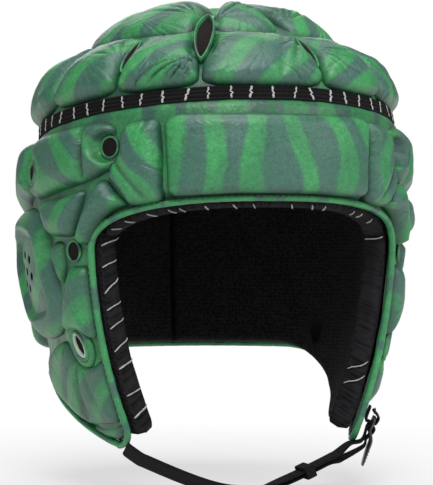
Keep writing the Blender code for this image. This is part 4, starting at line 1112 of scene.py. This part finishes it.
def make_whip_stitches():
    """Pale whip stitches over the lining's edge round the face."""
    rng = seeded("whip")
    bearing, level = edge_path()
    _, run, starts = along_line(form(bearing, level), 0.0125)
    stitches = []
    for start in starts:
        start = start + rng.uniform(-0.0040, 0.0040)
        if np.interp(start, run, looped(level)) > FACE_TOP_LEVEL - 0.0001:
            rng.uniform()  # a draw that keeps the later stitches in their places
        index = int(np.searchsorted(run, start)) % len(bearing)
        if abs(bearing[index]) > FACE_HALF_BEARING + 4 or level[index] < -0.088:
            continue
        if bearing[index] >= 0 and rng.uniform() < 0.45:
            continue
        high = level[index] > 0.016
        slant = rng.uniform(0.0010, 0.0040 if high else 0.0085)
        points = []
        for k, angle in enumerate(np.radians(np.linspace(62, 8 if high else -36, 9))):
            inset = -LINER_LIP + LINER_EDGE * (1 - math.cos(angle) ** 0.667) - 0.0004
            place = [np.interp(start + slant * (k / 8 - 0.5), run, looped(row)) for row in edge_path(inset)]
            points.append(on_form(*place, LINER_MIDDLE + LINER / 2 * signed_power(math.sin(angle), 0.667)))
        inward = unit(np.array((0, -0.02, -0.03)) - np.mean(points, 0))
        width = 0.00050 * np.array((0.5, 0.9, 1, 1, 1, 1, 1, 0.9, 0.5)) * rng.uniform(0.8, 1.2)
        stitches.append(sweep(points, inward, width, width * 0.8, 7))
    add_piece("whip_stitches", *merged(stitches), THREAD, "lining")


def oval_ring(name, bearing, level, half_x, half_z, wire, rise, material, nodes=(), tilt=0.0, tall=1.0):
    """A moulded ring with dark mesh stretched across its hole."""
    out, *plane = directions(bearing, level, tilt)
    middle = on_form(bearing, level, rise)
    sides, rings = 48, 8
    ring = oval(sides, half_x, half_z, *plane)
    tube = sweep(middle + ring, out, wire, wire * tall, 12, closed=True, power=2.3)
    add_piece(name + "_moulded", *tube, material, "ring", nodes)
    top = [middle + ring * s - out * 0.0003 * (1 - s * s) for s in np.linspace(1, 0, rings + 1)[:-1]]
    top = np.concatenate(top + [(middle - out * 0.0003)[None]])
    count = len(top)
    faces = grid_faces(rings, sides, wrap=True) + spokes((rings - 1) * sides, count - 1, sides)
    faces += [tuple(i + count for i in face)[::-1] for face in faces]
    both = np.concatenate((top, top - out * 0.0005))
    add_piece(name + "_mesh", both, faces + bridge(count, 0, sides), both, DARK_MESH, "lining")


def collar(name, bearing, level, rise, tilt, rolls):
    """Rolls of leather round a ring; each roll is its reach across and up, its radius and its lift."""
    out, *plane = directions(bearing, level, tilt)
    tubes = []
    for reach, tall, wire, lift in rolls:
        line = on_form(bearing, level, rise + lift) + oval(72, reach, tall, *plane)
        lump = 1 + 0.12 * waves(seeded(name), 6, 0.006, 0.02)(line)
        tubes.append(sweep(line, out, wire * lump, wire * 0.9 * lump, 14, closed=True))
    add_piece(name, *merged(tubes), SKIN, "leather")


def make_rings():
    for side, word in FLANKS:
        for row, (bearing, share) in VENTS.items():
            level = float(side_level(bearing, share))
            rise = float(skin_rise(bearing, level)) + 0.0008
            oval_ring(f"vent_{row}_{word}", side * bearing, level, 0.0058, 0.0058, 0.0007, rise, SKIN,
                      (f"vent_ring_{row}_{word}",))
        bearing, level = SLIT_VENT
        oval_ring(f"vent_slit_{word}", side * bearing, level, 0.0048, 0.0054, 0.0008, SLIT_RISE, SKIN)
        collar(f"vent_slit_collar_{word}", side * bearing, level, SLIT_RISE, 0.0,
               ((0.0060, 0.0066, 0.0014, -0.0008), (0.0078, 0.0086, 0.0026, -0.0034)))
        bearing, share = EYELET
        level = float(side_level(bearing, share))
        rise = float(skin_rise(bearing, level))
        tilt = side * -30.0
        oval_ring(f"eyelet_{word}", side * bearing, level, 0.0044, 0.0074, 0.0013, rise + 0.0008, PALE,
                  (f"eyelet_{word}",), tilt, tall=1.2)
        collar(f"eyelet_collar_{word}", side * (bearing - 0.3), level - 0.0004, rise, tilt,
               ((0.0054, 0.0086, 0.0012, 0.0017), (0.0078, 0.0112, 0.0022, 0.0002)))


def make_slits():
    """The dark vent slits between the crown's gores, each with a rolled rim."""
    rims, darks = [], []
    sides, rings = 56, 5
    turn = np.linspace(0, math.tau, sides, endpoint=False)
    for edge in GORES + tuple(-b for b in GORES[2:]):
        width, lift, across, out = 0.0024, 0.0042, 0.0007, 0.0012
        if edge == -WIDE_SLIT:
            width, lift, across, out = 0.0048, 0.0050, 0.0009, 0.0022
        low, high = slit_reach(edge)
        middle, bearing = (low + high) / 2, edge + CROWN_TURN
        levels = middle + (high - low) / 2 * np.sin(turn)
        away = shift(levels, width * signed_power(np.cos(turn), 1.35))
        rims.append(sweep(on_form(bearing + away, levels, lift), normal(bearing + away, levels), across, out, 10,
                          closed=True))
        shares = np.linspace(1, 0, rings + 1)[:-1, None]
        rows = bearing + away * shares, middle + (levels - middle) * shares
        verts = np.stack((on_form(*rows, 0.0044), on_form(*rows, 0.0028))).reshape(-1, 3)
        count, last = rings * sides, (rings - 1) * sides
        faces = grid_faces(rings, sides, wrap=True) + cap(last, sides)
        faces += grid_faces(rings, sides, wrap=True, start=count, flip=True) + cap(count + last, sides, flip=True)
        darks.append((verts, faces + bridge(count, 0, sides), verts))
    add_piece("slit_rims", *merged(rims), SKIN, "binding")
    add_piece("slit_mesh", *merged(darks), DARK_MESH, "lining")


# The chin strap, its leads and the buckle

Y = np.array((0.0, 1.0, 0.0))
PLAY = 0.0004
BAR_HALF_WIDTH = 0.0009
LOOP_BAR = -0.0065
FRONT_BAR = 0.0062
LIP_REACH = 0.0215
BUCKLE_WIDTH = 0.0215
SLOT_WIDTH = 0.0172
RIBBON_CLEAR = 0.001 + PLAY + WEBBING / 2
RIBBON_REACH = BAR_HALF_WIDTH + PLAY + WEBBING / 2
LEAD_TOP = JAW_LEVEL - BINDING_RADIUS - 0.0009


def ribbon(spine, across, thickness, fine=9, power=10, root=0.25, end=0.25, ribs=0.0):
    """A closed strip with rounded edges along the spine, with ribs on its outer face."""
    spine, across = np.asarray(spine, float), np.broadcast_to(across, np.shape(spine))
    out = unit(np.cross(unit(np.gradient(spine, axis=0)), across))
    t = np.linspace(-1, 1, fine)
    edge = (1 - np.abs(t) ** power) ** root
    edge[0] = edge[-1] = end
    half = (np.broadcast_to(thickness, (len(spine),))[:, None] * edge / 2)[..., None]
    ribs = (np.broadcast_to(ribs, (len(spine),))[:, None] * (np.abs(t) < 0.8))[..., None]
    upper = spine[:, None] + across[:, None] * t[None, :, None] + out[:, None] * (half + ribs)
    lower = spine[:, None] + across[:, None] * t[None, ::-1, None] - out[:, None] * half
    sides, last = 2 * fine, 2 * fine * (len(spine) - 1)
    faces = grid_faces(len(spine), sides, wrap=True, flip=True) + cap(0, sides) + cap(last, sides, flip=True)
    girth = np.append(t, t[::-1]) * np.linalg.norm(across, axis=1)[:, None]
    return np.concatenate((upper, lower), 1).reshape(-1, 3), faces, strip_cloth(spine, girth)


def dense(points, spacing=0.0008):
    """A smooth line through the points, resampled evenly (Catmull-Rom)."""
    points = np.asarray(points, float)
    padded = np.concatenate((2 * points[:1] - points[1:2], points, 2 * points[-1:] - points[-2:-1]))
    t = np.linspace(0, 1, 24, endpoint=False)[:, None]
    spans = [0.5 * (2 * p1 + (p2 - p0) * t + (2 * p0 - 5 * p1 + 4 * p2 - p3) * t**2
                    + (3 * p1 - p0 - 3 * p2 + p3) * t**3)
             for p0, p1, p2, p3 in zip(padded, padded[1:], padded[2:], padded[3:])]
    line = np.concatenate(spans + [points[-1:]])
    run = run_along(line[:, :3])
    return sampled(np.linspace(0, run[-1], max(3, int(run[-1] / spacing))), run, line)


def strap_height(x):
    end = 0.5 * math.hypot(SWING_HALF_SPAN, STRAP_ROUNDING)
    return SWING_LEVEL - end + 0.5 * np.hypot(x, STRAP_ROUNDING)


def tail_height(x):
    near = smooth(KEEPER_PLACE + 0.012, SWING_HALF_SPAN, x)
    return strap_height(x) - (TAIL_LIE + (TAIL_DROP - TAIL_LIE) * near)


def in_plane(xs, zs):
    """Points in the strap's upright plane."""
    return np.stack((xs, np.full(len(xs), STRAP_PLANE), zs), -1)


JAW_OUT, JAW_REAR, JAW_UP = directions(64.0, -0.0955)
JAW = np.stack((-JAW_UP, JAW_REAR, JAW_OUT), 1)


def in_jaw(points):
    """Points given down the jaw, rearward and outward from the buckle's bar."""
    return BAR_POINT + np.asarray(points, float) @ JAW.T


def make_strap():
    ahead = Y * WEBBING_WIDTH / 2
    # the wearer's right: from the jaw tip along the strap to the keeper
    xs = np.append((-LEAD_HALF_SPAN - 0.0012, -LEAD_HALF_SPAN), np.linspace(-SWING_HALF_SPAN, KEEPER_PLACE, 40))
    spine = dense(in_plane(xs, np.append((LEAD_TOP + 0.0016, LEAD_TOP), strap_height(xs[2:]))))
    lean = np.radians(30) * smooth(KEEPER_PLACE - 0.012, KEEPER_PLACE - 0.045, spine[:, 0])
    across = np.stack((lean * 0, np.cos(lean), -np.sin(lean)), -1) * WEBBING_WIDTH / 2
    right = add_piece("strap_webbing_right", *ribbon(spine, across, WEBBING), WEB, "webbing",
                      ("strap_lead_right", "chin_strap"), None, angle=70)
    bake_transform(right)
    # the wearer's left: the strap, round the buckle's bar, and back along the tail
    clear, reach = RIBBON_CLEAR, RIBBON_REACH
    xs, back = np.linspace(KEEPER_PLACE, SWING_HALF_SPAN, 12), np.linspace(SWING_HALF_SPAN, TAIL_END, 14)
    top = np.array((LEAD_HALF_SPAN, STRAP_PLANE, LEAD_TOP + 0.0002))
    below = ((top - BAR_POINT) @ JAW)[0]
    inner = in_jaw([(below - 0.0045, 0, -clear), (-reach * 0.6, 0, -clear), (-reach, 0, 0),
                    (-reach * 0.6, 0, clear), (0.0012, 0, clear), (FRONT_BAR, 0, -clear * 0.1),
                    (below - 0.001, 0, -clear * 0.1)])
    spine = np.concatenate((in_plane(xs, strap_height(xs)), top[None], inner, in_plane(back, tail_height(back))))
    jaw_across = JAW_REAR * WEBBING_WIDTH / 2
    across = [ahead] * 12 + [(ahead + jaw_across) / 2] + [jaw_across] * 7 + [ahead] * 14
    line = dense(np.concatenate((spine, across), 1))
    left = add_piece("strap_webbing_left", *ribbon(line[:, :3], line[:, 3:], WEBBING), WEB, "webbing",
                     ("strap_lead_left",), None, angle=70)
    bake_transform(left)


def make_buckle_loop():
    inner, outer = -RIBBON_CLEAR - 0.0026, RIBBON_CLEAR
    top = LOOP_BAR - 0.0060
    end = LOOP_BAR + RIBBON_REACH + 0.0007
    points = in_jaw([(top, 0, inner), (LOOP_BAR - 0.002, 0, inner), (end - 0.0007, 0, inner + 0.0003),
                     (end, 0, inner + 0.0012), (end, 0, outer - 0.0010), (end - 0.0007, 0, outer - 0.0001),
                     (LOOP_BAR - RIBBON_REACH * 0.8, 0, outer), (LOOP_BAR - 0.0045, 0, inner + 1.7 * WEBBING)])
    add_piece("buckle_loop_webbing", *ribbon(dense(points, 0.0005), JAW_REAR * WEBBING_WIDTH / 2, WEBBING), WEB,
              "webbing", ("buckle_loop",), angle=70)
    rows = []
    for across in (-0.0062, -0.0020, 0.0020, 0.0062):
        ends = in_jaw([(top + 0.0003, across, inner + 0.0034), (top + 0.0032, across, inner + 0.0034)])
        line = np.linspace(*ends, 9)
        rows += [sweep(half, JAW_OUT, 0.0003, 0.0003, 6) for half in (line[:4], line[5:])]
    add_piece("loop_bartack", *merged(rows), DARK_THREAD, "webbing")


def make_keeper():
    x = KEEPER_PLACE
    slope = math.atan2(strap_height(x + 0.006) - strap_height(x - 0.006), 0.012)
    up = np.array((-math.sin(slope), 0, math.cos(slope)))
    wall = 0.0005 + 0.0006
    turn = np.linspace(0, math.tau, 64, endpoint=False)
    cos, sin = np.cos(turn)[:, None], np.sin(turn)[:, None]
    points = ((x, STRAP_PLANE, (strap_height(x) + tail_height(x)) / 2)
              + signed_power(cos, 0.18) * (WEBBING_WIDTH / 2 + wall) * Y
              + signed_power(sin, 0.28) * ((TAIL_LIE + WEBBING) / 2 + wall) * up)
    tube = sweep(points, cos * Y + sin * up, 0.0030, 0.0006, 16, closed=True, power=5)
    add_piece("keeper_webbing", *tube, WEB, "webbing", ("strap_keeper",), "keeper")


def make_buckle():
    """The ladder lock with rounded bars, side rails and a ribbed lip."""
    start = LOOP_BAR - BAR_HALF_WIDTH
    profile = dense([(start, 0, 0), (-0.003, 0, 0), (BAR_HALF_WIDTH, 0, 0), (FRONT_BAR, 0, 0.0027),
                     (0.0139, 0, 0.00295), (LIP_REACH, 0, 0.0034)], 0.0004)
    run = profile[:, 0]
    width = np.interp(run, (start, -0.0060, FRONT_BAR, 0.0139, 0.0200, LIP_REACH), (0.92, 1, 1, 0.9, 0.75, 0.62))
    thick = np.interp(run, (start, FRONT_BAR, 0.0139, LIP_REACH), (0.0020, 0.0020, 0.0019, 0.0013))
    ribs = sum(np.exp(-((run - place) / 0.0004) ** 2) * 0.0005 for place in (0.0125, 0.0145, 0.0165, 0.0185))
    verts, faces, _ = ribbon(profile, width[:, None] * Y * BUCKLE_WIDTH / 2, thick, 21, 12, 0.3, 0.35, ribs)
    verts = in_jaw(verts)
    obj = add_piece("ladder_lock", verts, faces, verts, PLASTIC, "plastic", ("buckle",), "buckle", angle=45)
    y, z = SLOT_WIDTH / 2, 0.008
    slots = ((LOOP_BAR + BAR_HALF_WIDTH, -BAR_HALF_WIDTH), (BAR_HALF_WIDTH, FRONT_BAR - BAR_HALF_WIDTH / 2))
    for low, high in slots:
        corners = [(a, b, c) for c in (-z, z) for a, b in ((low, -y), (high, -y), (high, y), (low, y))]
        cut(obj, in_jaw(corners), cap(0, 4, flip=True) + cap(4, 4) + bridge(0, 4, 4))
    bevel = obj.modifiers.new("Bevel", "BEVEL")
    bevel.width = 0.00022
    bevel.segments = 2
    bevel.limit_method = "ANGLE"
    bevel.angle_limit = math.radians(50)
    apply_modifiers(obj)


make_crown_pads()
make_side_pads()
make_ear_pads()
side_skin = make_skins()
make_binding()
make_band()
make_trim()
liners = make_liners()
make_whip_stitches()
make_rings()
make_slits()
# a see-through slot near the rear of each jaw
for (side, word), liner in zip(FLANKS, liners):
    slot = disc_cutter(side * 113.5, -0.047, 0.0045, 0.0075, -0.026, 0.004, 28)[:2]
    cut(side_skin, *slot)
    cut(liner, *slot)
make_strap()
make_buckle_loop()
make_keeper()
make_buckle()


# Floor, light and camera

FLOOR_LEVEL = float(CAD_BOX[0][2]) - 0.0005
LAMPS = (
    ("key", (-0.42, -1.6, 1.5), 1.0, 27.0),
    ("fill", (1.2, -1.4, 0.8), 1.0, 9.0),
    ("top", (0.0, -0.1, 1.9), 1.2, 15.0),
    ("back", (0.3, 1.7, 0.9), 1.2, 9.0),
)


def seen_by(g, other):
    """1 for the camera's rays and for another kind of ray."""
    return g.math("MAXIMUM", g.node("LightPath", {}, "Is Camera Ray"), g.node("LightPath", {}, f"Is {other} Ray"))


def make_stage():
    g = Graph(bpy.data.materials.new("pale_floor"))
    place = g.node("TexCoord", {}, "Object")
    tone = g.ramp(g.noise(place, 6.0, 2.0), (0.3, (0.80, 0.80, 0.80, 1)), (0.7, (0.83, 0.83, 0.83, 1)))
    g.finish(Base_Color=tone, Roughness=0.9)
    open_floor = g.node("MapRange", {"Value": g.vector("LENGTH", place, output="Value"), "From Min": 0.10,
                                     "From Max": 0.42, "To Min": 0.55, "To Max": 1.0}, "Result")
    plain = Wire(g, g.tree.nodes["Principled BSDF"].outputs[0])
    white = g.node("Emission", {"Color": WHITE, "Strength": 1.0})
    both = g.node("MixShader", {0: open_floor * seen_by(g, "Glossy"), 1: plain, 2: white})
    g.put(g.tree.nodes["Material Output"].inputs["Surface"], both)
    bpy.ops.mesh.primitive_plane_add(size=12, location=(0, 0, FLOOR_LEVEL))
    floor = bpy.context.object
    floor.name = "studio_floor"
    floor.data.materials.append(g.owner)
    scene = bpy.context.scene
    scene.world = bpy.data.worlds.new("studio")
    g = Graph(scene.world)
    background = g.tree.nodes["Background"]
    seen = seen_by(g, "Transmission")
    strength = g.node("MapRange", {"Value": seen, "To Min": 0.27, "To Max": 1.0}, "Result")
    g.put(background.inputs["Strength"], strength)
    g.put(background.inputs["Color"], WHITE)
    for name, place, size, power in LAMPS:
        data = bpy.data.lights.new(name, "AREA")
        data.size, data.energy = size, power
        lamp = bpy.data.objects.new(name, data)
        lamp.location = place
        lamp.rotation_euler = (Vector((0, 0, 0.02)) - Vector(place)).to_track_quat("-Z", "Y").to_euler()
        scene.collection.objects.link(lamp)
    data = bpy.data.cameras.new("camera")
    data.sensor_width = 36
    data.lens = 148.45
    data.clip_start = 0.05
    camera = bpy.data.objects.new("camera", data)
    camera.location = (-0.3504, -1.1472, 0.0106)
    camera.rotation_euler = (math.radians(90), 0, math.radians(-16.98))
    scene.collection.objects.link(camera)
    scene.camera = camera
    scene.view_settings.view_transform = "Standard"


make_stage()
